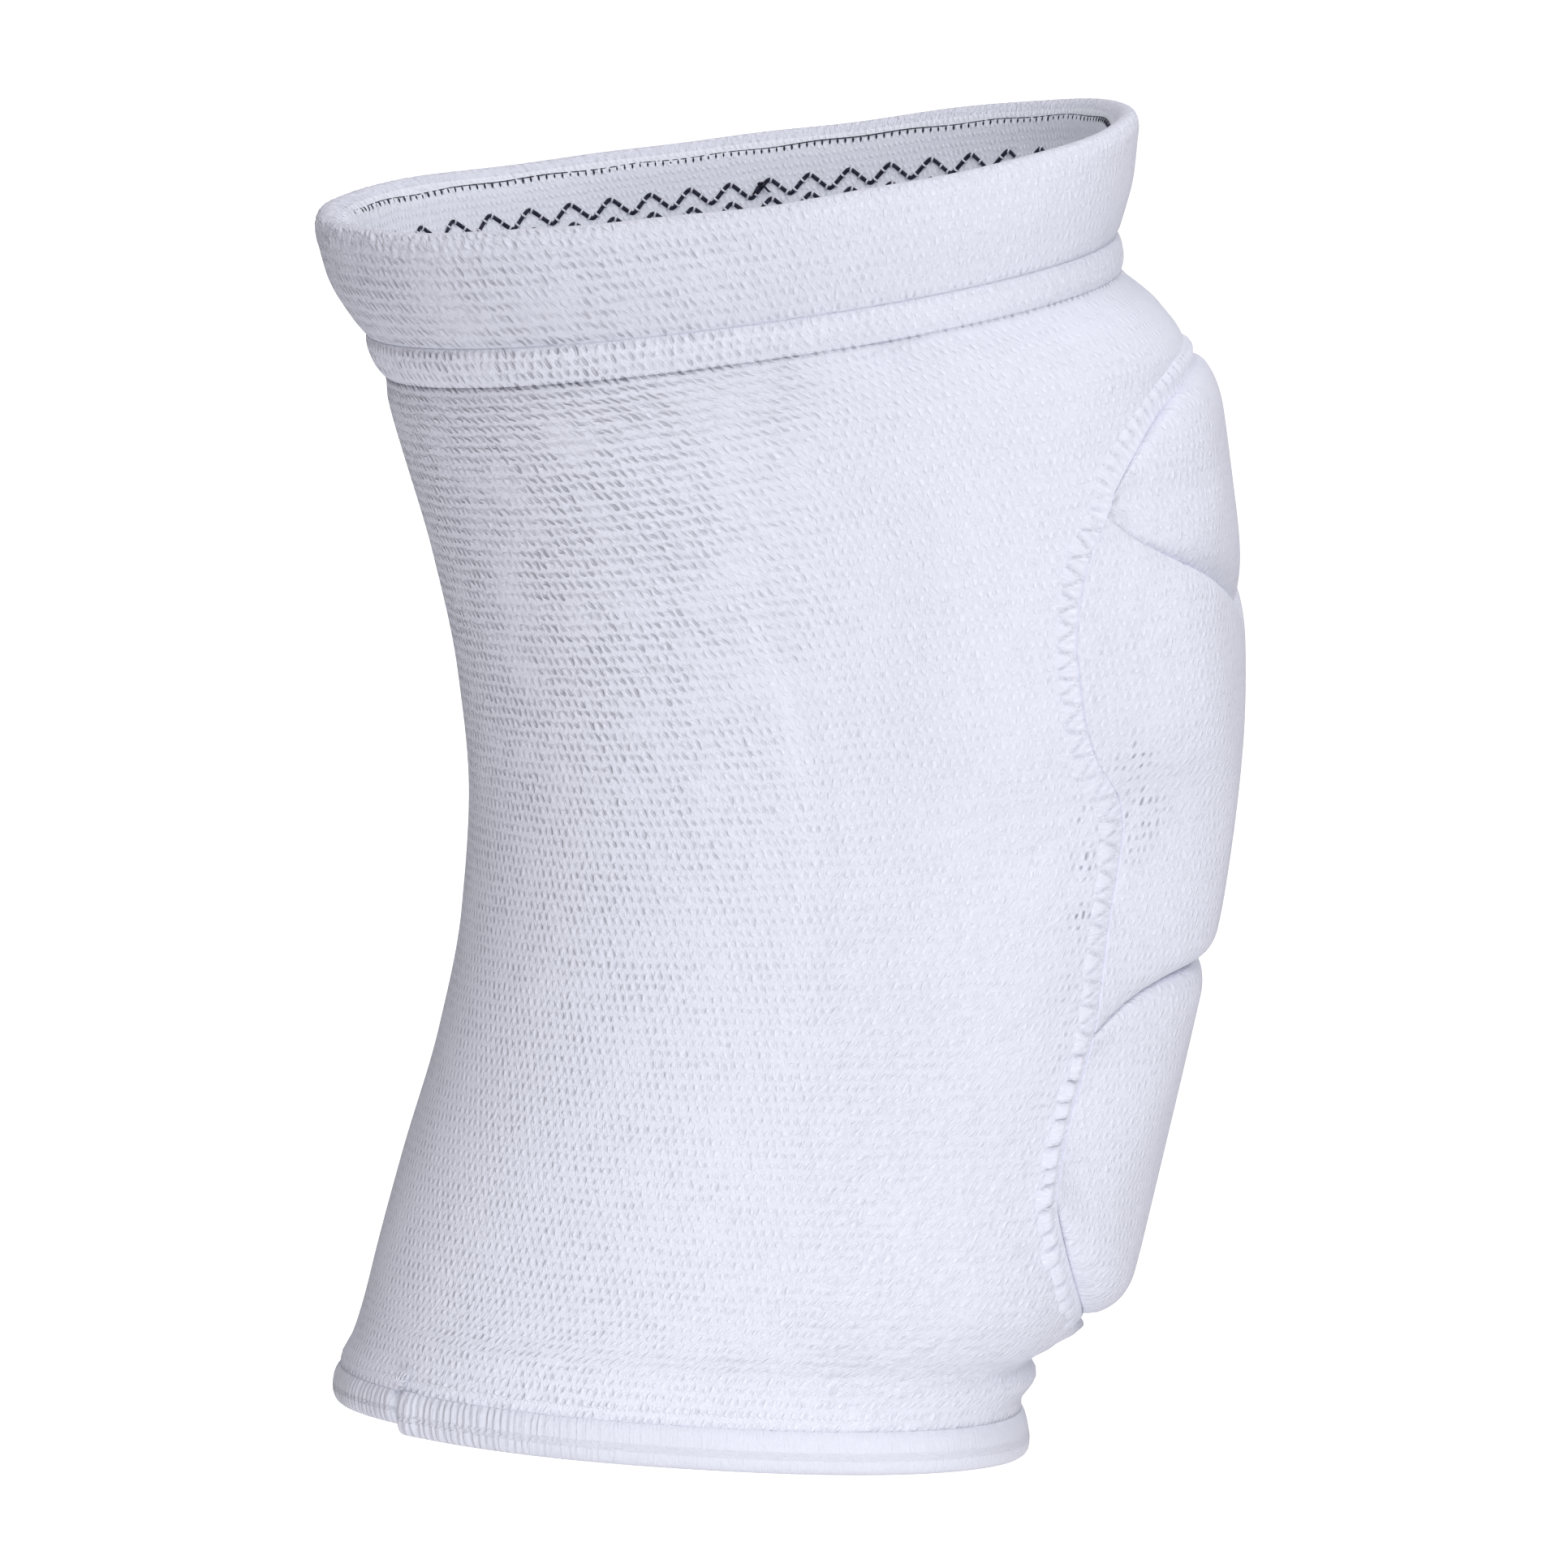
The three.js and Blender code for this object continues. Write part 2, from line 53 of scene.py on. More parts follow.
lens = bpy.data.cameras.new("camera")
lens.sensor_width = 36
lens.lens = PIXELS_PER_METRE * CAMERA_AWAY / PICTURE_PIXELS * lens.sensor_width
lens.clip_start = 0.1
lens.clip_end = 100
camera = bpy.data.objects.new("camera", lens)
camera.location = LOOKS_AT + CAMERA_AWAY * Vector((0, -np.cos(CAMERA_RAISED), np.sin(CAMERA_RAISED)))
camera.rotation_euler = (np.pi / 2 - CAMERA_RAISED, 0, 0)
bpy.context.scene.collection.objects.link(camera)
bpy.context.scene.camera = camera


# The studio: one large soft light high in front of the pad and to the camera's right, weaker
# ones round it, a white surround, and a plain pale floor well below.
def softbox(name, place, size, watts):
    """A square light at a place, turned towards the middle of the pad."""
    light = bpy.data.lights.new(name, "AREA")
    light.size = size
    light.energy = watts
    lamp = bpy.data.objects.new(name, light)
    lamp.location = place
    lamp.rotation_euler = (-Vector(place)).to_track_quat("-Z", "Y").to_euler()
    bpy.context.scene.collection.objects.link(lamp)


softbox("key_light", (0.9, -1.3, 1.2), 1.0, 9.6)
softbox("front_light", (0.3, -1.9, 0.7), 1.2, 5)
softbox("low_fill", (-0.1, -0.5, -0.5), 0.5, 2.8)
softbox("top_light", (0.0, -0.5, 1.5), 0.8, 8)
softbox("side_light", (1.7, -0.3, 0.1), 1.0, 8)
bpy.context.scene.view_settings.view_transform = "Standard"

# What the camera sees of the surround is white, and what lights the pad is weaker
SURROUND_LIGHT = 0.355
world = bpy.data.worlds.new("surround")
bpy.context.scene.world = world
world.use_nodes = True
surround = world.node_tree
seen = surround.nodes.new("ShaderNodeBackground")
seen.inputs["Color"].default_value = (1, 1, 1, 1)
seen.inputs["Strength"].default_value = 1.0
lit_by = surround.nodes["Background"]
lit_by.inputs["Color"].default_value = (1.0, 0.985, 1.0, 1)
lit_by.inputs["Strength"].default_value = SURROUND_LIGHT
straight = surround.nodes.new("ShaderNodeLightPath")
either = surround.nodes.new("ShaderNodeMixShader")
surround.links.new(straight.outputs["Is Camera Ray"], either.inputs["Fac"])
surround.links.new(lit_by.outputs["Background"], either.inputs[1])
surround.links.new(seen.outputs["Background"], either.inputs[2])
surround.links.new(either.outputs["Shader"], surround.nodes["World Output"].inputs["Surface"])

FLOOR_BELOW = -0.6
FLOOR_HALF = 30
floor_mesh = bpy.data.meshes.new("floor")
floor_mesh.from_pydata(
    [(x * FLOOR_HALF, y * FLOOR_HALF, FLOOR_BELOW) for x, y in ((-1, -1), (1, -1), (1, 1), (-1, 1))],
    [],
    [(0, 1, 2, 3)],
)
floor = bpy.data.objects.new("floor", floor_mesh)
bpy.context.scene.collection.objects.link(floor)
paper = bpy.data.materials.new("white_paper")
paper.use_nodes = True
paper_shader = paper.node_tree.nodes["Principled BSDF"]
paper_shader.inputs["Base Color"].default_value = (0.9, 0.9, 0.9, 1)
paper_shader.inputs["Roughness"].default_value = 0.9
paper_shader.inputs["Emission Color"].default_value = (1, 1, 1, 1)
paper_shader.inputs["Emission Strength"].default_value = 1.0
floor_mesh.materials.append(paper)
floor.visible_diffuse = False
floor.visible_glossy = False
floor.visible_shadow = False


# The sleeve: a seamless tube of thick elastic knit, shaped to the leg. Its loops stand in
# courses that run round the leg, and it is drawn in where the cuff and the pads are sewn on.
# It is a closed shell here, with an outer face, a lining and plain ends.
HEIGHT, DEPTH, WIDTH = 0.1956, 0.1328, 0.108
SLEEVE_WALL = 0.003
CLEARANCE = 0.0003
CUFF_HEIGHT = 0.0186
RIB_HEIGHT = 0.0052
RIB_SUNK = 0.0017
HEM_SEAM_UP = -0.508
CREST_UP = 0.492
SEAM_UP = CREST_UP - CUFF_HEIGHT / HEIGHT
SLEEVE_TOP_UP = SEAM_UP - CLEARANCE / HEIGHT
SLEEVE_FOOT_UP = HEM_SEAM_UP + CLEARANCE / HEIGHT
RIB_FOOT_UP = SLEEVE_TOP_UP - RIB_HEIGHT / HEIGHT

# up, tilt, dish, back, front, half, square, back square, foam: heights, ends and half widths
# are shares of HEIGHT, DEPTH and WIDTH, the tilt is in degrees, square and back square are the
# powers of the outline at the front and the back, and foam is the share of PAD_THICKNESS
LEVELS = np.array([
    (-0.547, -3.7, 0.004, -0.571, 0.257, 0.389, 2.4, 2.2, 0),
    (-0.508, -3.7, 0.004, -0.564, 0.249, 0.389, 2.4, 2.2, 0),
    (-0.472, -3.6, 0.002, -0.548, 0.249, 0.393, 2.4, 2.2, 0),
    (-0.45, -3.4, 0.001, -0.539, 0.3, 0.396, 2.5, 2.2, 0.45),
    (-0.409, -3, 0, -0.525, 0.337, 0.404, 2.6, 2.2, 0.54),
    (-0.322, -1.8, 0, -0.493, 0.351, 0.42, 2.7, 2.2, 0.72),
    (-0.215, -0.3, 0, -0.45, 0.38, 0.437, 2.8, 2.2, 0.87),
    (-0.107, 1.4, 0, -0.422, 0.413, 0.45, 2.8, 2.2, 0.98),
    (0, 3.1, 0, -0.413, 0.434, 0.459, 2.8, 2.2, 0.99),
    (0.107, 4.8, 0, -0.426, 0.446, 0.463, 2.8, 2.2, 0.88),
    (0.215, 6.4, 0, -0.456, 0.453, 0.466, 2.8, 2.2, 0.6),
    (0.307, 7.7, 0, -0.492, 0.449, 0.469, 2.75, 2.2, 0.4),
    (0.337, 8, 0.001, -0.505, 0.42, 0.47, 2.6, 2.2, 0.3),
    (0.365, 8.2, 0.004, -0.517, 0.377, 0.472, 2.45, 2.2, 0),
    (0.392, 7.6, 0.006, -0.536, 0.371, 0.478, 2.4, 2.3, 0),
    (0.445, 7.3, 0.009, -0.581, 0.386, 0.491, 2.5, 2.4, 0),
    (0.492, 7.2, 0.011, -0.604, 0.398, 0.5, 2.35, 2.5, 0),
])

# up and the angle from the kneecap, in degrees, of the seam beside the pads
SEAM_LINE = np.array([
    (-0.337, 34), (-0.256, 35.7), (-0.194, 34.7), (-0.153, 36), (-0.102, 37.1), (-0.046, 36.7),
    (-0.015, 38.4), (0.02, 44), (0.061, 47), (0.118, 48.2), (0.174, 46), (0.215, 41),
])


def read(table, at):
    """A table's columns at any value of its first one, on cubics through the rows. Each row's
    slope is the harmonic mean of its two neighbours' rises, and none where they differ in sign."""
    x, y = table[:, 0], table[:, 1:]
    rise = np.diff(y, axis=0) / np.diff(x)[:, None]
    before, after = np.vstack([rise[:1], rise]), np.vstack([rise, rise[-1:]])
    together = np.where(before * after > 0, before + after, 1)
    slope = np.where(before * after > 0, 2 * before * after / together, 0)
    at = np.clip(at, x[0], x[-1])
    i = np.clip(np.searchsorted(x, at) - 1, 0, len(x) - 2)
    span = (x[i + 1] - x[i])[..., None]
    t = (at[..., None] - x[i][..., None]) / span
    ease = t * t * (3 - 2 * t)
    leave, arrive = t * (1 - t) ** 2 * span * slope[i], t * t * (t - 1) * span * slope[i + 1]
    return y[i] * (1 - ease) + y[i + 1] * ease + leave + arrive


def skin(up, angle, outset=0.0):
    """Points of the knit's outer face, moved out by outset. Each level is a superellipse in
    polar form, radius = (|cos/reach|^n + |sin/half|^n)^(-1/n), on a plane tilted to the front."""
    up, angle, outset = np.broadcast_arrays(*(np.asarray(a, float) for a in (up, angle, outset)))
    tilt, dish, back, front, half, square, back_square, _ = np.moveaxis(read(LEVELS, up), -1, 0)
    tilt, back, front, half = np.radians(tilt), back * DEPTH, front * DEPTH, half * WIDTH
    reach = (front - back) / 2 / np.cos(tilt)
    n = back_square + (square - back_square) * (1 + np.cos(angle)) / 2
    radius = (abs(np.cos(angle) / reach) ** n + abs(np.sin(angle) / half) ** n) ** (-1 / n)
    along, aside = radius * np.cos(angle), -radius * np.sin(angle)
    out_along = np.sign(along) * abs(along / reach) ** (n - 1) / reach
    out_aside = np.sign(aside) * abs(aside / half) ** (n - 1) / half
    out = outset / np.hypot(out_along, out_aside)
    s = along + out * out_along
    rise = s * np.sin(tilt) + dish * HEIGHT * (along / reach) ** 2
    middle = (front + back) / 2
    return np.stack([middle + s * np.cos(tilt), aside + out * out_aside, up * HEIGHT + rise], -1)


def bump(distance, size):
    """A smooth bump, (1 - t^2)^2 of t = distance / (2 size), 1 in its middle and none past it."""
    return (1 - np.minimum(abs(distance) / (2 * size), 1) ** 2) ** 2


def turned(angle, degrees_from):
    """How far angle lies past another, in degrees, from -180 to 180."""
    return (np.degrees(angle) - degrees_from + 180) % 360 - 180


def from_line(points, line):
    """Each point's distance from a line of points, and the share of the line's length at the
    nearest place: the least over its straight legs."""
    nearest = np.full(points.shape[:-1], np.inf)
    share = np.zeros(points.shape[:-1])
    lengths = np.linalg.norm(np.diff(line, axis=0), axis=1)
    starts = np.concatenate([[0], np.cumsum(lengths)])
    for start, end, length, before in zip(line[:-1], line[1:], lengths, starts):
        t = np.clip((points - start) @ (end - start) / length**2, 0, 1)
        gap = np.linalg.norm(points - start - t[..., None] * (end - start), axis=-1)
        share = np.where(gap < nearest, (before + t * length) / starts[-1], share)
        nearest = np.minimum(nearest, gap)
    return nearest, share


NEAR, BOTH = (1,), (1, -1)
# Soft dents and swells: up, angle in degrees, how far they rise, how tall and how wide they are,
# and which sides of the pad have them
SWELLS = [
    (-0.03, 52, -0.0008, 0.03, 9, BOTH),
    (0.1, 62, 0.0009, 0.09, 9, BOTH),
    (-0.16, 58, 0.0006, 0.07, 12, BOTH),
    (0.355, 66, -0.0008, 0.011, 4, NEAR),
    (-0.36, 100, 0.0008, 0.06, 26, BOTH),
    (0.26, 118, 0.0005, 0.07, 22, NEAR),
    (-0.48, 0, 0.003, 0.0115, 30, NEAR),
    (-0.441, 0, 0.0022, 0.0045, 11, NEAR),
    (-0.474, 48, 0.0014, 0.012, 14, BOTH),
]
# Creases: their places as (up, angle), depth, half width, and their sides
CREASES = [
    ([(0.26, 107), (0.19, 101), (0.135, 97), (0.087, 94), (0.03, 92), (-0.022, 90), (-0.07, 89),
      (-0.135, 88.5), (-0.2, 87.5), (-0.26, 85.5), (-0.33, 83)], 0.0003, 0.0022, BOTH),
    ([(0.16, 100), (0.114, 96.5), (0.067, 93.5), (0.03, 91)], 0.0002, 0.0008, NEAR),
    ([(-0.285, 148), (-0.303, 119), (-0.313, 85)], 0.0003, 0.0014, BOTH),
    ([(0.238, 140), (0.215, 111)], 0.0003, 0.003, NEAR),
    ([(-0.02, 41), (-0.012, 52), (-0.02, 66), (-0.03, 76)], 0.0004, 0.0011, BOTH),
    ([(-0.024, 41), (-0.045, 50), (-0.065, 60), (-0.08, 70)], 0.00035, 0.001, BOTH),
    ([(0.0, 42), (0.02, 52), (0.03, 62)], 0.00025, 0.0011, BOTH),
    ([(-0.03, 40), (-0.075, 44), (-0.11, 50)], 0.0003, 0.001, BOTH),
]
STITCH_PITCH = 0.0044
# Between these heights the seam's sewing gathers the sleeve
PUCKERS_TOP, PUCKERS_FOOT = 0.235, -0.36
PUCKER_RISE = 0.00008
SEAM_RIDGE = 0.0003
BANK = 0.45


def seam_angle(up):
    """The angle of the seam beside the pads at a height, read from SEAM_LINE."""
    return np.radians(read(SEAM_LINE, up)[..., 0])


def past_seam(up, angle):
    """How far a point lies past the seam, away from the pads: their angles' difference times
    half the sleeve's width."""
    return (abs(turned(angle, 0)) - np.degrees(seam_angle(up))) * np.pi / 180 * WIDTH / 2


def relief(up, angle):
    """How far the sleeve's face is moved out. A swell is a bump in height times one in angle, a
    crease is a narrow bump inwards less BANK times a wide one, and along the seam are a low
    ridge and a cosine of small folds, one to each stitch."""
    points = skin(up, angle)
    out = np.zeros(up.shape)
    for at, degrees, rise, tall, wide, sides in SWELLS:
        for side in sides:
            out += rise * bump(up - at, tall) * bump(turned(angle, degrees * side), wide)
    for places, depth, half_width, sides in CREASES:
        for side in sides:
            line = skin(*np.transpose([(at, np.radians(degrees) * side) for at, degrees in places]))
            gap, share = from_line(points, line)
            out += depth * fading(share) * (BANK * bump(gap, 2.2 * half_width) - bump(gap, half_width))
    beside = past_seam(up, angle)
    puckers = PUCKER_RISE * np.cos(2 * np.pi * up * HEIGHT / STITCH_PITCH) * bump(beside - 0.0015, 0.0026)
    gathered = (up < PUCKERS_TOP) & (up > PUCKERS_FOOT)
    return out + np.where(gathered, puckers + SEAM_RIDGE * bump(beside, 0.003), 0)


def fading(share):
    """sin(pi share)^0.7: 1 in the middle of a line, and 0 at its two ends."""
    return np.sin(np.pi * np.clip(share, 0, 1)) ** 0.7


def placed(name, mesh, corner_uv):
    """The object of a mesh, smooth, with its map "knit" given corner by corner."""
    mesh.uv_layers.new(name="knit").data.foreach_set("uv", corner_uv.ravel())
    mesh.shade_smooth()
    made = bpy.data.objects.new(name, mesh)
    bpy.context.scene.collection.objects.link(made)
    return made


def shell(name, rings, uv, closed=True, caps=False, upwards=False):
    """A mesh object through rings of points, each ring joined to the next one and, where it is
    closed, the last to the first. uv has one more row and column than the rings. caps closes
    each end ring, whose first half lies opposite its second half, with a strip of quads.
    Rings that go up the outer face have their faces turned over, to look outwards."""
    rows, columns = rings.shape[:2]
    last = rows if closed else rows - 1
    i, j = np.meshgrid(np.arange(last), np.arange(columns), indexing="ij")
    next_i, next_j = (i + 1) % rows, (j + 1) % columns
    corners = [i * columns + j, i * columns + next_j, next_i * columns + next_j, next_i * columns + j]
    faces = np.stack(corners, -1).reshape(-1, 4)
    corner_uv = np.stack([uv[i, j], uv[i, j + 1], uv[i + 1, j + 1], uv[i + 1, j]], 2).reshape(-1, 4, 2)
    if caps:
        k = np.arange(columns // 2 - 1)
        strip = np.stack([columns - 1 - k, columns - 2 - k, k + 1, k], -1)
        end = (rows - 1) * columns
        faces = np.concatenate([faces, strip, (end + strip)[:, ::-1]])
        flat = uv[:-1, :-1].reshape(-1, 2)
        corner_uv = np.concatenate([corner_uv, flat[strip], flat[(end + strip)[:, ::-1]]])
    if upwards:
        faces, corner_uv = faces[:, ::-1], corner_uv[:, ::-1]
    mesh = bpy.data.meshes.new(name)
    mesh.from_pydata(rings.reshape(-1, 3), [], faces)
    return placed(name, mesh, corner_uv)


def mark(made, name, values):
    """Stores a number at each vertex of a piece, for its material."""
    made.data.attributes.new(name, "FLOAT", "POINT").data.foreach_set("value", values.ravel())


def around(columns):
    """Even angles all the way round, one for each column."""
    return 2 * np.pi * np.arange(columns) / columns


# Lengths round the skin, level by level, from the kneecap to each angle
SHARE_UP = np.linspace(-0.56, 0.5, 54)
SHARE_ANGLE = np.linspace(0, 2 * np.pi, 721)
level_points = skin(SHARE_UP[:, None], SHARE_ANGLE)
level_chords = np.linalg.norm(np.diff(level_points, axis=1), axis=-1)
LEVEL_SHARES = np.concatenate([np.zeros((len(SHARE_UP), 1)), np.cumsum(level_chords, 1)], 1)
LEVEL_SHARES /= LEVEL_SHARES[:, -1:]


def share_round(up, angle):
    """The share of a level's whole length from the kneecap to an angle, which is negative on
    the far side: the chords' running sum, read between its rows and columns."""
    row = (up - SHARE_UP[0]) / (SHARE_UP[1] - SHARE_UP[0])
    column = abs(angle) / SHARE_ANGLE[1]
    i = np.clip(row.astype(int), 0, len(SHARE_UP) - 2)
    j = np.clip(column.astype(int), 0, len(SHARE_ANGLE) - 2)
    s, t = np.clip(row - i, 0, 1), column - j
    upper = LEVEL_SHARES[i, j] * (1 - t) + LEVEL_SHARES[i, j + 1] * t
    lower = LEVEL_SHARES[i + 1, j] * (1 - t) + LEVEL_SHARES[i + 1, j + 1] * t
    return np.sign(angle) * (upper * (1 - s) + lower * s)


class Value:
    """A number socket of a material. Python's operators on it add its Math nodes."""

    def __init__(self, tree, socket):
        self.tree, self.socket = tree, socket

    def maths(self, operation, *terms):
        """The result of a Math node with the operation and terms."""
        node = self.tree.nodes.new("ShaderNodeMath")
        node.operation = operation
        for socket, term in zip(node.inputs, terms):
            feed(self.tree, socket, term)
        return Value(self.tree, node.outputs[0])

    def __add__(self, other):
        return self.maths("ADD", self, other)

    def __sub__(self, other):
        return self.maths("SUBTRACT", self, other)

    def __rsub__(self, other):
        return self.maths("SUBTRACT", other, self)

    def __mul__(self, other):
        return self.maths("MULTIPLY", self, other)

    def __pow__(self, other):
        return self.maths("POWER", self, other)

    __radd__, __rmul__ = __add__, __mul__

    def floor(self):
        """The whole number below."""
        return self.maths("FLOOR", self)

    def wave(self):
        """0 at whole numbers and 1 half way between them: (1 - cos(2 pi x)) / 2."""
        return 0.5 - 0.5 * self.maths("COSINE", self * (2 * np.pi))

    def clamped(self):
        """Held between 0 and 1."""
        return self.maths("MINIMUM", self.maths("MAXIMUM", self, 0.0), 1.0)


def feed(tree, socket, term):
    """Gives a socket a number or a colour, or links it to another."""
    if isinstance(term, Value):
        tree.links.new(term.socket, socket)
    elif isinstance(term, bpy.types.NodeSocket):
        tree.links.new(term, socket)
    else:
        socket.default_value = term


class Finish:
    """A material with one Principled shader, and the nodes that lead to it."""

    def __init__(self, name, colour, roughness, sheen):
        self.material = bpy.data.materials.new(name)
        self.material.use_nodes = True
        self.tree = self.material.node_tree
        self.shader = self.tree.nodes["Principled BSDF"]
        self.sockets(
            self.shader,
            {
                "Base Color": (*colour, 1),
                "Roughness": roughness,
                "Sheen Weight": sheen,
                "Sheen Roughness": 0.45,
                "Specular IOR Level": 0.2,
            },
        )

    def sockets(self, node, terms):
        """Feeds the sockets of a node, each by its name or number."""
        for key, term in terms.items():
            feed(self.tree, node.inputs[key], term)

    def node(self, kind, settings, terms, output=0):
        """An output of a new node of a kind, whose settings are set first and then its sockets."""
        node = self.tree.nodes.new("ShaderNode" + kind)
        for key, setting in settings.items():
            setattr(node, key, setting)
        self.sockets(node, terms)
        return node.outputs[output]

    def value(self, kind, settings, terms, output=0):
        """The same, as a number that Python's operators work on."""
        return Value(self.tree, self.node(kind, settings, terms, output))

    def noise(self, place, scale, detail):
        """Soft noise from 0 to 1 at a place, with scale lumps to a unit."""
        terms = {"Vector": place, "Scale": scale, "Detail": detail}
        return self.value("TexNoise", {"noise_dimensions": "3D"}, terms)

    def mixed(self, share, first, second):
        """A colour between two, by a share from 0 to 1."""
        terms = {0: share, 6: first, 7: second}
        return self.node("Mix", {"data_type": "RGBA"}, terms, 2)

    def relief(self, height, distance):
        """Tilts the shading as if the face stood out by height times distance, in metres."""
        terms = {"Height": height, "Distance": distance, "Strength": 1.0}
        self.sockets(self.shader, {"Normal": self.node("Bump", {}, terms)})


def knit(name, colour, deep, depth, finer=1.0, hairy=0.3):
    """Courses of loops, each course set half a loop past the last. Between two loops is a small
    gap, 1 - (across / 0.24)^2 - (along / 0.4)^2 deep, and each loop's head is a light dot,
    1 - ((0.5 - |across|) / 0.29)^2 - (along / 0.33)^2 high. The gaps, and the ground round the
    heads, are darkened with painted shade towards deep, the colour of that shade. Fine fibres
    run along them, and noise shakes their places. The map "knit" counts wales and courses, and
    finer is how many of this knit's go to one of those. "lean" slants the loops, "crisp" is how
    clearly the gaps show, in their depth and their painted shade, "holes" opens the gaps and
    paints shade into them, and "shaded" is painted shade in seams, creases and grooves, and
    over the cuff's back."""
    finish = Finish(name, colour, 0.85, 0.1)
    place = finish.node("UVMap", {"uv_map": "knit"}, {})
    wale = finish.value("SeparateXYZ", {}, {"Vector": place}, 0) * finer
    course = finish.value("SeparateXYZ", {}, {"Vector": place}, 1) * finer
    lean, crisp, holes, shaded = (
        finish.value("Attribute", {"attribute_name": key}, {}, "Fac")
        for key in ("lean", "crisp", "holes", "shaded")
    )
    spot = finish.node("TexCoord", {}, {}, "Object")
    drift = finish.noise(spot, 320, 1) - 0.5
    shake = finish.noise(spot, 800, 0) - 0.5
    jittered = course + 0.3 * drift + 0.6 * shake
    row = jittered.floor()
    along = jittered - row - 0.5
    place_across = wale + 0.5 * row + lean * along + 0.4 * drift
    column = place_across.floor()
    across = place_across - column - 0.5
    cell = finish.node("CombineXYZ", {}, {"X": column, "Y": row})
    chance = finish.value("TexWhiteNoise", {"noise_dimensions": "2D"}, {"Vector": cell})
    tall = along * along
    pit = (1 - across * across * 17 - tall * 6.2).clamped()
    head_across = 0.5 - across.maths("ABSOLUTE", across)
    head = (1 - head_across * head_across * 12 - tall * 9).clamped()
    drawn_out = finish.node("CombineXYZ", {}, {"X": place_across * 4.5, "Y": course * 1.6})
    fibres = finish.noise(drawn_out, 1, 2) - 0.5
    fuzz = finish.noise(spot, 1500, 2) - 0.5
    # Random patches where the gaps sink deeper and take more painted shade
    patchy_pit_depth_and_shade = finish.noise(spot, 110, 1)
    sunk = pit * (0.6 + 0.9 * chance) * (patchy_pit_depth_and_shade * 3.2 - 0.7).clamped()
    fluff = hairy * (fibres * 1.5 + fuzz)
    open_gap = (1 - across * across * 26 - tall * 11).clamped() * (chance * 2.5 - 0.3).clamped()
    # Painted shade in the gaps and round the loops' heads, with the fibres' own light and dark, and
    # painted shade in open holes, seams and creases
    shade = sunk * crisp * 0.38 + (1 - head) * (1 - crisp) * 0.12 - hairy * fibres * 0.12
    shade = (shade + holes * open_gap + shaded).clamped()
    patch = finish.noise(spot, 55, 2)
    body = finish.mixed((patch * 1.4 - 0.2).clamped(), (*colour, 1), (*(0.975 * np.array(colour)), 1))
    finish.sockets(finish.shader, {"Base Color": finish.mixed(shade, body, (*deep, 1))})
    clear = crisp * (0.35 + 0.65 * crisp)
    loops = head * (0.3 + 0.15 * crisp) - sunk * clear + fluff * (1.2 - 0.4 * crisp)
    finish.relief(loops - 0.6 * holes * open_gap, depth)
    return finish.material


def mark_knit(made, points, crisp=None, holes=0.0, lean=None, shaded=0.0):
    """The knit's slant, clearness, open gaps and the painted shade of its creases on a piece.
    Left to itself the knit leans back high on the calf's side and forwards low on the kneecap's
    side, and is clearest high on the calf's side, where its gaps take the most painted shade."""
    x, y, z = np.moveaxis(points, -1, 0)
    if lean is None:
        behind = np.clip(0.5 - x / 0.008, 0, 1)
        lean = -1.35 * (behind * (0.47 + 6.3 * z) + (1 - behind) * np.clip(6 * z - 0.12, -0.6, 0.1))
    if crisp is None:
        backwards, downwards = np.clip((0.016 - x) / 0.05, 0, 1), np.clip((0.03 - z) / 0.08, 0, 1)
        crisp = 0.2 + 0.7 * backwards * (1 - 0.65 * downwards)
    for key, values in (("lean", lean), ("crisp", crisp), ("holes", holes), ("shaded", shaded)):
        mark(made, key, np.broadcast_to(values, x.shape).astype(np.float32))


def ringed(up, outset, course, wales):
    """Points, and a map of wales and courses, for a band of knit. Each row is one station
    round it: up and outset have a column for each angle, and course is one number a row."""
    columns = up.shape[1]
    angle = around(columns) * np.ones((len(up), 1))
    u = wales * share_round(up, angle)
    u = np.concatenate([u, np.full((len(up), 1), wales)], 1)
    v = course[:, None] * np.ones(columns + 1)
    uv = np.stack([u, v], -1)
    return skin(up, angle, outset), np.concatenate([uv, uv[:1]])


def finish_piece(made, material, node, slot, points=None, **marks):
    """Gives a piece its material and body, and puts it in the place of its CAD node, where
    it stands for one; slot is not used. A knitted piece gives its points, and what it marks on its knit."""
    made.data.materials.append(material)
    if points is not None:
        mark_knit(made, points, **marks)
    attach(made, "root")
    if node:
        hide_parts(node)


# The height of a course of the sleeve's knit, and how many wales go round it
COURSE = 0.00185
WALES = 232


def courses(up):
    """Courses counted up the leg: the levels' mean distance apart, summed, over one course."""
    tall = np.linalg.norm(np.diff(level_points, axis=0), axis=-1).mean(1)
    return np.interp(up, SHARE_UP, np.concatenate([[0], np.cumsum(tall)])) / COURSE


# Where the pinch beside the knee opens the knit: up, angle, and size in metres
PINCHES = [
    (-0.03, 34, 0.0042), (-0.055, 34.6, 0.0034), (0.014, 37.5, 0.003), (-0.018, 43.6, 0.002),
    (-0.06, 41.5, 0.002), (-0.1, 40.8, 0.0018),
]


def opened(points, height):
    """How open a knit at a height over the skin is: the largest of the pinches' bumps, on both
    sides of the pad."""
    open_at = np.zeros(points.shape[:-1])
    for up, angle, size in PINCHES:
        for side in (1, -1):
            gap = np.linalg.norm(points - skin(up, side * np.radians(angle), height), axis=-1)
            open_at = np.maximum(open_at, bump(gap, size))
    return open_at


SLEEVE_COLUMNS, SLEEVE_ROWS, LINING_ROWS = 336, 186, 52
TUCKED_IN_HEM = 0.0008
HEM_SWELL, DRAWN_IN = 0.0006, 0.0006
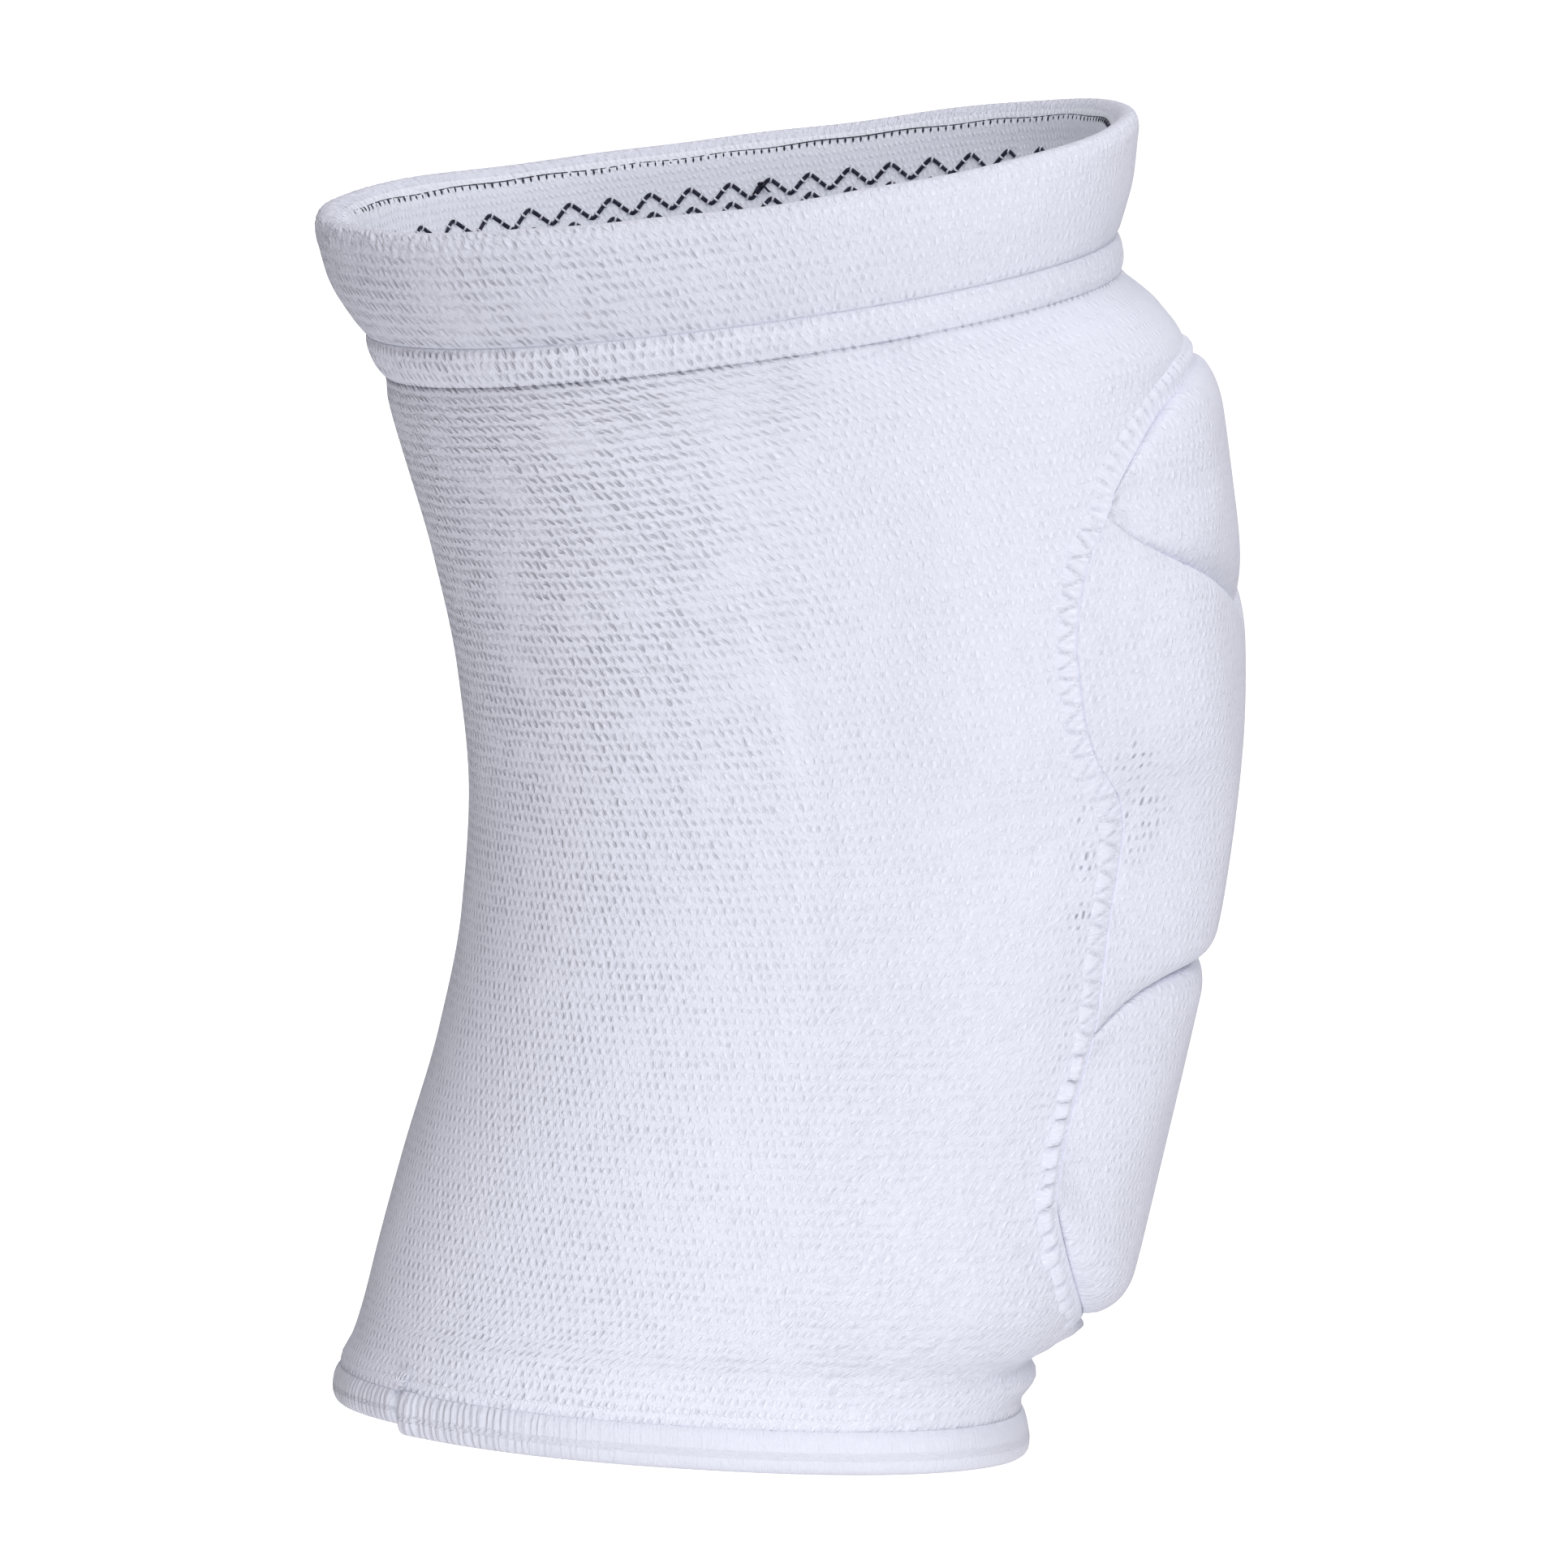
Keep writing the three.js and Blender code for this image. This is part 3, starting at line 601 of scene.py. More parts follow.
# How far past the seam a row of open loops lies, and how wide it is
OPEN_ROW, OPEN_ROW_WIDE = 0.0042, 0.0012
FACE_TOP_UP = RIB_FOOT_UP - CLEARANCE / HEIGHT
FACE_FOOT_UP = SLEEVE_FOOT_UP - TUCKED_IN_HEM / HEIGHT

# Stations down the face, from under the cuff's tuck to inside the hem, and up the lining
face_up = np.linspace(FACE_TOP_UP, FACE_FOOT_UP, SLEEVE_ROWS)
lining_share = np.linspace(0, 1, LINING_ROWS)
lining_up = FACE_FOOT_UP + (SLEEVE_TOP_UP - FACE_FOOT_UP) * lining_share
sleeve_up = np.concatenate([[SLEEVE_TOP_UP, FACE_TOP_UP], face_up, lining_up])
sleeve_out = np.concatenate([
    [-RIB_SUNK, -RIB_SUNK], np.zeros(SLEEVE_ROWS), -SLEEVE_WALL - RIB_SUNK * lining_share**6
])
grid_up, grid_out = (column[:, None] * np.ones(SLEEVE_COLUMNS) for column in (sleeve_up, sleeve_out))
grid_angle = around(SLEEVE_COLUMNS) * np.ones(grid_up.shape)
face = slice(2, 2 + SLEEVE_ROWS)
below_rib = (FACE_TOP_UP - face_up[:, None]) * HEIGHT
above_hem = (grid_up[face] - SLEEVE_FOOT_UP) * HEIGHT
# The knit swells a little over the hem and is drawn in under the tuck
grid_out[face] += relief(grid_up[face], grid_angle[face])
grid_out[face] += HEM_SWELL * bump(above_hem, 0.0022) - DRAWN_IN * bump(below_rib, 0.0017)
sleeve_points, sleeve_uv = ringed(grid_up, grid_out, courses(sleeve_up), WALES)

# Loops stand open at the pinches, under the tuck, and in a row beside the middle of the seam,
# with painted shade in them, and the knit just under the tuck takes more painted shade
sleeve_holes = 0.8 * opened(sleeve_points, 0.001)
sleeve_holes[face] += 0.4 * bump(below_rib, 0.0005)
row_beside = bump(past_seam(grid_up, grid_angle) - OPEN_ROW, OPEN_ROW_WIDE)
sleeve_holes += 0.28 * row_beside * bump(grid_up + 0.17, 0.11)
sleeve_shade = np.zeros(grid_up.shape)
sleeve_shade[face] = 0.08 * bump(below_rib, 0.0005)

# Each knit's white, and the colour of the painted shade in its gaps, seams and creases
KNIT_WHITE, KNIT_DEEP = (0.83, 0.845, 0.955), (0.3, 0.3, 0.4)
JERSEY_WHITE, JERSEY_DEEP = (0.9, 0.925, 1.0), (0.4, 0.42, 0.55)
sleeve = shell("knit_sleeve", sleeve_points, sleeve_uv)
sleeve_knit = knit("sleeve_knit", KNIT_WHITE, KNIT_DEEP, 0.00042, hairy=0.42)
finish_piece(
    sleeve, sleeve_knit, "sleeve", "knit", sleeve_points, holes=sleeve_holes, shaded=sleeve_shade
)
jersey = knit("lining_jersey", JERSEY_WHITE, JERSEY_DEEP, 0.00025, finer=1.5, hairy=0.25)
sleeve.data.materials.append(jersey)


def line_with(made, rows, columns, first, last):
    """Gives the faces that start on rings first to last the piece's second material."""
    slots = np.zeros((rows, columns), int)
    slots[first:last] = 1
    made.data.polygons.foreach_set("material_index", slots.ravel())


line_with(sleeve, len(sleeve_up), SLEEVE_COLUMNS, SLEEVE_ROWS + 1, len(sleeve_up) - 1)


# The cuff: the knit turned over into a thick soft roll, sewn down along its foot. Its face is
# the sleeve's knit, ribbed where it turns over, and inside it is lined with a fine jersey whose
# ends meet in a gathered seam at the back.
CUFF_WALL = 0.005
CUFF_LIP = 0.004
CUFF_COLUMNS, CUFF_FACE_ROWS, CUFF_LIP_ROWS, CUFF_LINING_ROWS = 900, 26, 16, 18
CUFF_COURSE = 0.00195
CUFF_WALES = 262
CUFF_RIDGES, CUFF_RIDGE_RISE = 230, 0.00016
GATHER, GATHER_DEGREES = 0.0006, 12
# Shares of the face's height, and how far it stands out there, as shares of the wall
CUFF_FACE = np.array([(0, -0.13), (0.05, -0.07), (0.15, 0.015), (0.5, 0.08), (1, 0)])


def ridges(angle, z, count):
    """Uneven ridges up and down a band, mostly from -1 to 1: a sum of five waves of unlike
    pitches round it, each slanted in its own way, over 3.2."""
    waves = [(count, 900, 0.0), (count + 17, -1400, 1.3), (count - 23, 500, 2.1)]
    waves += [(count // 2 + 5, 800, 4.0), (2 * count + 9, -600, 0.7)]
    return sum(np.cos(n * angle + k * z + p) for n, k, p in waves) / 3.2


def cuff_grid():
    """Stations up the cuff's face, over its lip, half an ellipse, and down its lining: their
    heights, how far out they lie, and the way travelled to each."""
    lip_up = CREST_UP - CUFF_LIP / HEIGHT
    share = np.linspace(0, 1, CUFF_FACE_ROWS)
    turn = np.linspace(0, np.pi, CUFF_LIP_ROWS + 2)[1:-1]
    down = np.linspace(1, 0, CUFF_LINING_ROWS)
    up = np.concatenate([
        SEAM_UP + (lip_up - SEAM_UP) * share,
        lip_up + CUFF_LIP / HEIGHT * np.sin(turn),
        SEAM_UP + (lip_up - SEAM_UP) * down,
    ])
    out = np.concatenate([
        read(CUFF_FACE, share)[:, 0] * CUFF_WALL,
        CUFF_WALL / 2 * (np.cos(turn) - 1),
        np.full(CUFF_LINING_ROWS, -CUFF_WALL),
    ])
    travelled = np.cumsum(np.hypot(np.diff(up, prepend=up[0]) * HEIGHT, np.diff(out, prepend=out[0])))
    return up, out, travelled


cuff_up, cuff_out, cuff_way = cuff_grid()
cuff_angle = around(CUFF_COLUMNS) * np.ones((len(cuff_up), 1))
on_lip = bump(cuff_way - cuff_way[CUFF_FACE_ROWS + CUFF_LIP_ROWS // 2], 0.0035)[:, None]
inside = np.clip((np.arange(len(cuff_up)) - CUFF_FACE_ROWS - 4) / CUFF_LIP_ROWS, 0, 1)[:, None]
backwards = np.clip(-np.cos(cuff_angle), 0, 1)
ribbing = 0.15 + on_lip * (0.5 + 2.0 * backwards)
cuff_ridges = ridges(cuff_angle, cuff_way[:, None], CUFF_RIDGES)
cuff_outset = cuff_out[:, None] + CUFF_RIDGE_RISE * cuff_ridges * ribbing
from_back = turned(cuff_angle, 180)
gathered = bump(from_back, GATHER_DEGREES) * inside
cuff_outset -= gathered * (GATHER + GATHER * np.cos(np.radians(from_back * 110)))
# The lip's edge is a little wavy
cuff_outset += 0.0001 * np.sin(5 * cuff_angle + 1) * on_lip
cuff_rise = 0.00012 * np.sin(7 * cuff_angle + 0.6) + 0.0001 * np.sin(12 * cuff_angle)
cuff_level = cuff_up[:, None] + cuff_rise / HEIGHT * (cuff_up[:, None] - SEAM_UP) / (CREST_UP - SEAM_UP)
cuff_points, cuff_uv = ringed(cuff_level, cuff_outset, cuff_way / CUFF_COURSE, CUFF_WALES)
cuff = shell("knit_cuff", cuff_points, cuff_uv, upwards=True)
cuff_x = cuff_points[..., 0]
cuff_crisp = 0.75 * np.clip(0.5 - cuff_x / 0.08, 0.2, 1) * (1 - 0.6 * on_lip) * (1 - 0.7 * inside)
cuff_lean = -0.9 * np.clip(0.3 - cuff_x / 0.05, 0, 1) * (1 - inside)
# Painted shade: in open gaps along the groove at the cuff's foot and on its lining, in that groove, and
# over the cuff's face, darker towards its back
cuff_holes = 0.25 * bump(cuff_way - 0.0004, 0.0006)[:, None] + 0.15 * inside
cuff_shade = 0.08 * bump(cuff_way, 0.0005)[:, None]
cuff_shade = cuff_shade + 0.08 * np.clip(0.5 - cuff_x / 0.06, 0, 1) * (1 - on_lip)
cuff_knit = knit("cuff_knit", KNIT_WHITE, KNIT_DEEP, 0.0004, hairy=0.5)
finish_piece(
    cuff, cuff_knit, "top_cuff", "cuff_knit", cuff_points,
    crisp=cuff_crisp, holes=cuff_holes, lean=cuff_lean, shaded=cuff_shade,
)
cuff.data.materials.append(jersey)
line_with(cuff, len(cuff_up), CUFF_COLUMNS, CUFF_FACE_ROWS + CUFF_LIP_ROWS - 4, len(cuff_up) - 1)


# The tuck under the cuff: a narrow roll of the same knit between two rows of sewing, which
# draw it in every few millimetres.
RIB_COLUMNS, RIB_ROWS = 900, 18
RIB_LAP = 0.0004
RIB_BULGE = 0.001
RIB_DRAWN_IN = 0.00065
RIB_STITCHES = 122
RIB_RIDGES, FINE_RIDGE_RISE = 250, 0.00007
rib_share = np.linspace(0, 1, RIB_ROWS)
rib_face = (1 - abs(2 * rib_share - 1) ** 2.2) ** 0.9
rib_face_up = SLEEVE_TOP_UP + RIB_LAP / HEIGHT - (RIB_HEIGHT + 2 * RIB_LAP) / HEIGHT * rib_share
rib_up = np.concatenate([rib_face_up, [RIB_FOOT_UP, SLEEVE_TOP_UP]])
rib_angle = around(RIB_COLUMNS) * np.ones((len(rib_up), 1))
rib_full = np.concatenate([rib_face, [0, 0]])[:, None]
rib_out = RIB_BULGE * rib_full * (1 + 0.08 * np.cos(RIB_STITCHES * rib_angle)) - RIB_DRAWN_IN
rib_out += FINE_RIDGE_RISE * ridges(rib_angle, rib_up[:, None] * HEIGHT, RIB_RIDGES) * rib_full
rib_out[-2:] = CLEARANCE - RIB_SUNK
rib_level = rib_up[:, None] * np.ones(RIB_COLUMNS)
rib_points, rib_uv = ringed(rib_level, rib_out, courses(rib_up), WALES)
# Painted shade in the grooves at the tuck's two edges, with open gaps there
rib_shade = 0.1 * (1 - rib_full) ** 4 * np.ones(RIB_COLUMNS)
rib = shell("cuff_tuck", rib_points, rib_uv)
finish_piece(
    rib, cuff_knit, "cuff_seam_rib", "cuff_knit", rib_points,
    holes=2 * rib_shade, lean=-0.1, shaded=rib_shade,
)


# The hem: a band of finely ribbed knit rolled over the sleeve's raw foot. Its two ends lap at
# the back of the near side, one a little higher than the other.
HEM_HEIGHT = 0.0076
HEM_WALL = 0.005
HEM_BULGE = 0.0013
HEM_STEP = 0.0015
# How square the roll is cut across: the power of its sine and cosine
HEM_SQUARE = 0.7
# The lap's angle, over how many degrees its step goes down again, and how wide the step is
HEM_LAP, HEM_BLEND, HEM_LAP_WIDTH = 150, 130, 1.4
HEM_COLUMNS, HEM_ROWS = 1200, 26
HEM_RIBS = 250
# The groove at the lap, and the swell of the end in front of it
LAP_GROOVE, LAP_SWELL = 0.0011, 0.0006
hem_turn = around(HEM_ROWS)
hem_sine, hem_cosine = (
    (np.sign(f(hem_turn)) * abs(f(hem_turn)) ** HEM_SQUARE)[:, None] for f in (np.sin, np.cos)
)
hem_angle = around(HEM_COLUMNS) * np.ones((HEM_ROWS, 1))
hem_degrees = np.degrees(hem_angle)
past_lap = np.clip((hem_degrees - HEM_LAP) / HEM_BLEND, 0, 1)
stepped = np.clip((hem_degrees - HEM_LAP + HEM_LAP_WIDTH / 2) / HEM_LAP_WIDTH, 0, 1) * (1 - past_lap)
hem_level = HEM_SEAM_UP + HEM_HEIGHT / 2 / HEIGHT * (hem_sine - 1)
hem_level = hem_level + HEM_STEP / HEIGHT * stepped * np.clip(0.5 - hem_sine, 0, 1)
# The ribs are faint at the front of the near side, full at its back, and less so on the far one
hem_ribs = np.clip((hem_degrees - 92) / 45, 0.06, 1)
hem_ribs = np.where(hem_degrees > 185, 0.6, hem_ribs)
hem_out = HEM_BULGE - HEM_WALL / 2 + HEM_WALL / 2 * hem_cosine * np.ones(HEM_COLUMNS)
hem_ridges = ridges(hem_angle, 0, HEM_RIBS)
hem_out += FINE_RIDGE_RISE * hem_ridges * hem_ribs * np.clip(hem_cosine + 0.6, 0, 1)
hem_out -= LAP_GROOVE * bump(turned(hem_angle, HEM_LAP), 0.8) * np.clip(hem_cosine, 0, 1)
hem_out += LAP_SWELL * bump(turned(hem_angle, HEM_LAP - 3), 1.6) * np.clip(hem_cosine, 0, 1)
hem_points, hem_uv = ringed(hem_level, hem_out, hem_turn * 2, HEM_RIBS)
hem = shell("rolled_hem", hem_points, hem_uv, upwards=True)


def ribbed(name, colour, deep, depth):
    """Fine ribs up and down a band: the wales' wave, shaken by noise, to the power 0.7, as
    full as "crisp" says, and fine fibres over it."""
    finish = Finish(name, colour, 0.8, 0.3)
    place = finish.node("UVMap", {"uv_map": "knit"}, {})
    wale = finish.value("SeparateXYZ", {}, {"Vector": place}, 0)
    course = finish.value("SeparateXYZ", {}, {"Vector": place}, 1)
    spot = finish.node("TexCoord", {}, {}, "Object")
    uneven = finish.noise(finish.node("CombineXYZ", {}, {"X": wale * 0.7, "Y": course * 0.15}), 1, 2)
    rib = (wale + 1.6 * uneven).wave() ** 0.7
    fibres = finish.noise(finish.node("CombineXYZ", {}, {"X": wale * 4, "Y": course * 0.7}), 1, 3)
    clear = finish.value("Attribute", {"attribute_name": "crisp"}, {}, "Fac")
    full = rib * (0.45 + 0.6 * uneven) * clear + 0.8 * (fibres - 0.5)
    full = full + 0.5 * (finish.noise(spot, 1500, 2) - 0.5)
    patch = finish.noise(spot, 70, 2)
    # Painted shade between the ribs, and random patches a little lighter and darker
    shade = ((1 - full) * (0.12 + 0.16 * clear) + 0.15 * (patch - 0.5)).clamped()
    finish.sockets(finish.shader, {"Base Color": finish.mixed(shade, (*colour, 1), (*deep, 1))})
    finish.relief(full, depth)
    return finish.material


# The hem's colour is the sleeve's white painted a little darker, as shade on the hem, and its ribs take
# painted shade towards the second colour
hem_knit = ribbed("hem_knit", (0.77, 0.785, 0.89), (0.46, 0.46, 0.56), 0.00028)
finish_piece(hem, hem_knit, "bottom_hem", "hem_knit", hem_points, crisp=hem_ribs)


# The pads: three firm slabs of foam between the sleeve and a cover of the same knit, which is
# sewn down between them in two creases and all round them in one seam. Cloth, blown up by a
# little pressure and held at its edges, gives each cover its crown.
PAD_THICKNESS = 0.0114
PAD_SEAT = 0.00045
SIDE_ROUND = 0.02
UNDER_SEAM = 0.0023
COVER_EDGE = 0.0003
# Each pad's end lines: their heights in the middle and at the sides, and how late they bow
CROWN = (0.303, 0.227, 3.3)
UPPER_CREASE = (0.101, 0.208, 1.25)
LOWER_CREASE = (-0.153, -0.197, 4)
FOOT = (-0.439, -0.337, 2.8)
# Name, node, the lines above and below, and then, for the top and the foot, the room kept from
# the line, the width of the round there and the thickness's share at the edge; rows of the grid
PADS = (
    (
        "upper_pad_cover", "pad_upper", CROWN, UPPER_CREASE,
        (0.0016, 0.008, 0.25), (0, 0.013, 0.6), 90,
    ),
    (
        "middle_pad_cover", "pad_middle", UPPER_CREASE, LOWER_CREASE,
        (0, 0.0032, 0.76), (0.00015, 0.004, 0.6), 110,
    ),
    (
        "lower_pad_cover", "pad_lower", LOWER_CREASE, FOOT,
        (0.00015, 0.0055, 0.58), (UNDER_SEAM, 0.0065, 0.12), 100,
    ),
)
PAD_WALE = 0.00142
# How much flatter than the foam a cover starts, and the most that Cloth may move it
FLATTER = 0.0004
SWELL_MOST = 0.0012
CLOTH_FRAMES = 20


def line_up(line, across):
    """The height of a pad's end line, middle + (side - middle) * |across|^bow, with its middle
    rounded off: |across| is (sqrt(across^2 + 0.004) - 0.063) / 0.939."""
    away = (np.sqrt(across**2 + 0.004) - 0.004**0.5) / (1.004**0.5 - 0.004**0.5)
    return line[0] + (line[1] - line[0]) * away ** line[2]


def rounded(distance, size, edge):
    """A quarter-round rise, sqrt(1 - t^2) of t = 1 - distance / size, from the edge's share."""
    t = 1 - np.clip(distance / size, 0, 1)
    return edge + (1 - edge) * np.sqrt(1 - t * t)


def pad_faces(top, foot, top_edge, foot_edge, rows, columns):
    """The outer and inner faces of a pad, and their heights. The foam's thickness at each
    level is multiplied by the rounds at its ends and, from its sides, by the mean of two eased
    rises, 1 - (1 - t)^2 and t^2 (3 - 2 t) of t = distance / SIDE_ROUND. The grid closes up
    towards its edges."""
    across = np.sin(np.linspace(-1, 1, columns) * 1.45) / np.sin(1.45) * np.ones((rows, 1))
    down = np.linspace(0, 1, rows)[:, None]
    down = 0.45 * down + 0.55 * (1 - np.cos(np.pi * down)) / 2
    top_up = line_up(top, across) - top_edge[0] / HEIGHT
    foot_up = line_up(foot, across) + foot_edge[0] / HEIGHT
    up = top_up + (foot_up - top_up) * down
    edge = seam_angle(up) - UNDER_SEAM / (WIDTH / 2)
    t = np.clip((1 - abs(across)) * edge * WIDTH / 2 / SIDE_ROUND, 0, 1)
    share = read(LEVELS, up)[..., 7] * (0.05 + 0.475 * (1 - (1 - t) ** 2 + t * t * (3 - 2 * t)))
    share = share * rounded((top_up - up) * HEIGHT, *top_edge[1:])
    share = share * rounded((up - foot_up) * HEIGHT, *foot_edge[1:])
    thick = share * PAD_THICKNESS - FLATTER * np.clip(share * 2, 0, 1)
    angle = across * edge
    outer = skin(up, angle, PAD_SEAT + np.maximum(thick, COVER_EDGE))
    inner = skin(up, angle, PAD_SEAT - COVER_EDGE)
    return outer, inner, up


def slab_rings(outer, inner):
    """Rings round a slab, a row of the outer face and the same row of the inner face back."""
    return np.concatenate([outer, inner[:, ::-1]], 1)


def swollen(outer, inner):
    """How far Cloth under pressure moves the outer face of a coarse slab whose edges and inner
    face are held, after CLOTH_FRAMES frames, along each axis, and no further than SWELL_MOST."""
    rows, columns = outer.shape[:2]
    uv = np.zeros((rows + 1, 2 * columns + 1, 2))
    slab = shell("swelling", slab_rings(outer, inner), uv, closed=False, caps=True)
    free = np.zeros((rows, 2 * columns), bool)
    free[1:-1, 1 : columns - 1] = True
    held = slab.vertex_groups.new(name="held")
    held.add(np.flatnonzero(~free.ravel()).tolist(), 1.0, "REPLACE")
    cloth = slab.modifiers.new("cover", "CLOTH")
    cloth.settings.quality = 6
    cloth.settings.mass = 0.3
    cloth.settings.tension_stiffness = cloth.settings.compression_stiffness = 25
    cloth.settings.bending_stiffness = 1.0
    cloth.settings.use_pressure = True
    cloth.settings.uniform_pressure_force = 4
    cloth.settings.vertex_group_mass = "held"
    cloth.settings.effector_weights.gravity = 0
    for frame_number in range(1, CLOTH_FRAMES + 1):
        bpy.context.scene.frame_set(frame_number)
    settled = slab.evaluated_get(bpy.context.evaluated_depsgraph_get())
    moved = np.empty(rows * 2 * columns * 3)
    settled.data.vertices.foreach_get("co", moved)
    moved = moved.reshape(rows, 2 * columns, 3)[:, :columns] - outer
    bpy.context.scene.frame_set(1)
    bpy.data.objects.remove(slab)
    far = np.linalg.norm(moved, axis=-1, keepdims=True)
    return moved * np.minimum(1, SWELL_MOST / np.maximum(far, 1e-9))


def between(values, count):
    """A matrix that reads rows at count even places between them, on Catmull-Rom cubics."""
    at = np.linspace(0, values - 1, count)
    i = np.clip(at.astype(int), 0, values - 2)
    t = at - i
    weights = np.zeros((count, values))
    cubic = [(-t + 2 * t**2 - t**3) / 2, (2 - 5 * t**2 + 3 * t**3) / 2,
             (t + 4 * t**2 - 3 * t**3) / 2, (t**3 - t**2) / 2]
    for step, weight in zip((-1, 0, 1, 2), cubic):
        np.add.at(weights, (np.arange(count), np.clip(i + step, 0, values - 1)), weight)
    return weights


def pad_cover(name, shape, rows, columns=150, coarse_rows=28, coarse_columns=46):
    """A pad's closed cover: its faces, swollen by what Cloth does to a coarse copy of them."""
    outer, inner, up = pad_faces(*shape, rows, columns)
    moved = swollen(*pad_faces(*shape, coarse_rows, coarse_columns)[:2])
    rise, spread = between(coarse_rows, rows), between(coarse_columns, columns)
    outer += np.einsum("ai,bj,ijk->abk", rise, spread, moved)
    rings = slab_rings(outer, inner)
    steps = np.linalg.norm(np.diff(outer, axis=1), axis=-1)
    wales = np.insert(np.cumsum(steps, 1), 0, 0, 1) / PAD_WALE
    uv = np.stack([wales - wales[:, columns // 2, None], courses(up)], -1)
    uv = np.concatenate([uv, uv[:, ::-1], uv[:, :1]], 1)
    uv = np.concatenate([uv, uv[-1:]])
    return shell(name, rings, uv, closed=False, caps=True), rings


pad_knit = knit("pad_knit", KNIT_WHITE, KNIT_DEEP, 0.00036, hairy=0.55)
for name, node, top, foot, top_edge, foot_edge, rows in PADS:
    cover, rings = pad_cover(name, (top, foot, top_edge, foot_edge), rows)
    # The knit opens at the pinches, with painted shade in its gaps
    pinched = 1.2 * opened(rings, 0.006)
    finish_piece(cover, pad_knit, node, "pad_cover", rings, crisp=0.25, holes=pinched, lean=0.15)


# The seam round the pads: sleeve and cover are sewn together in one line, and the knit bunches
# up between one stitch and the next into a row of soft beads, flat over the top of the pads.
WELT_HALF = 0.003
WELT_UNDER = 0.0003
WELT_SIDES = 26
WELT_WALE, WELT_COURSES = 0.0015, 4
SEAM_POINTS = 1680
SMOOTHED_OVER = 41
# Heights where the zigzag beside the knee gives way to hooks above it and to beads below
ZIGZAG_TOP, ZIGZAG_FOOT, ZONE_BLEND = 0.21, -0.205, 0.02
HOOK_PITCH, BEAD_PITCH = 0.00245, 0.0036
HOOK_SAG, BEAD_SAG = 0.0004, 0.0006
STITCH_REACH = 0.00035


def seam_path():
    """The seam's line round all three pads as (up, angle): over the crown, down the near side,
    under the foot and up the far side."""
    across = np.sin(np.pi / 2 * np.linspace(0, 1, 120))
    crown_up, foot_up = line_up(CROWN, across), line_up(FOOT, across)
    side_up = np.linspace(CROWN[1], FOOT[1], 400)[1:-1]
    up = np.concatenate([crown_up, side_up, foot_up[::-1]])
    sides = np.concatenate([across, np.ones(len(side_up)), across[::-1]])
    angle = sides * seam_angle(up)
    up, angle = np.concatenate([up, up[-2:0:-1]]), np.concatenate([angle, -angle[-2:0:-1]])
    return np.stack([up, angle], -1)


def spaced(path, count):
    """count even places along a closed line of (up, angle) on the skin, and its length."""
    closed = np.concatenate([path, path[:1]])
    points = skin(closed[:, 0], closed[:, 1])
    travelled = np.concatenate([[0], np.cumsum(np.linalg.norm(np.diff(points, axis=0), axis=1))])
    at = travelled[-1] * np.arange(count) / count
    return np.stack([np.interp(at, travelled, closed[:, k]) for k in (0, 1)], -1), travelled[-1]


def unit(vectors):
    """The vectors at length 1."""
    return vectors / np.linalg.norm(vectors, axis=-1, keepdims=True)


seam_at, seam_length = spaced(seam_path(), SEAM_POINTS)
smoothing = np.hanning(SMOOTHED_OVER)[:, None] / np.hanning(SMOOTHED_OVER).sum()
smoothed = sum(
    np.roll(seam_at, k - SMOOTHED_OVER // 2, 0) * share for k, share in enumerate(smoothing)
)
seam_up, seam_turn = smoothed[:, 0], smoothed[:, 1]
outwards = unit(skin(seam_up, seam_turn, 0.001) - skin(seam_up, seam_turn))
# Metres along the seam from the crown's middle, the same on both sides
seam_index = np.arange(SEAM_POINTS)
seam_way = seam_length / SEAM_POINTS * np.minimum(seam_index, SEAM_POINTS - seam_index)


def along_closed(points):
    """The direction of a closed line at each of its points, from the one before to the next."""
    return unit(np.roll(points, -1, 0) - np.roll(points, 1, 0))


def zigzag_at(way):
    """Where the zigzag thread lies across the seam, a triangle wave with uneven stitches."""
    phase = way / STITCH_PITCH * 2 * np.pi
    q = 2 / np.pi * np.arcsin(0.95 * np.sin(phase + 0.35 * np.sin(phase / 3.1)))
    return q * (0.86 + 0.1 * np.sin(phase / 4.3))


def zones(up):
    """Shares of the crown's hooks, of the zigzag and of the beads at a height."""
    hooked = np.clip((up - ZIGZAG_TOP) / ZONE_BLEND + 0.5, 0, 1)
    beaded = np.clip((ZIGZAG_FOOT - up) / ZONE_BLEND + 0.5, 0, 1)
    return hooked, 1 - hooked - beaded, beaded


def stitch_phases(way, q):
    """Hooks and beads counted along the seam, on parabolas across it. Two sines make the beads
    uneven."""
    hooks = (way + HOOK_SAG * (1 - q * q)) / HOOK_PITCH
    beads = (way + BEAD_SAG * (1 - q * q)) / BEAD_PITCH
    return hooks, beads + 0.14 * np.sin(1.9 * way / BEAD_PITCH) + 0.12 * q * np.sin(way / 0.0071)


def near_stitch(up, way, q):
    """How near a point is to a stitch, exp(-(distance / STITCH_REACH)^2)."""
    hooks, beads = stitch_phases(way, q)
    gaps = (
        abs(hooks - np.round(hooks)) * HOOK_PITCH,
        abs(q - zigzag_at(way)) * WELT_HALF * 0.6,
        abs(beads - np.round(beads)) * BEAD_PITCH,
    )
    reach = (bump(q - 0.05, 0.25), bump(q, 0.65), bump(q, 0.4))
    return sum(z * r * np.exp(-((g / STITCH_REACH) ** 2)) for z, r, g in zip(zones(up), reach, gaps))


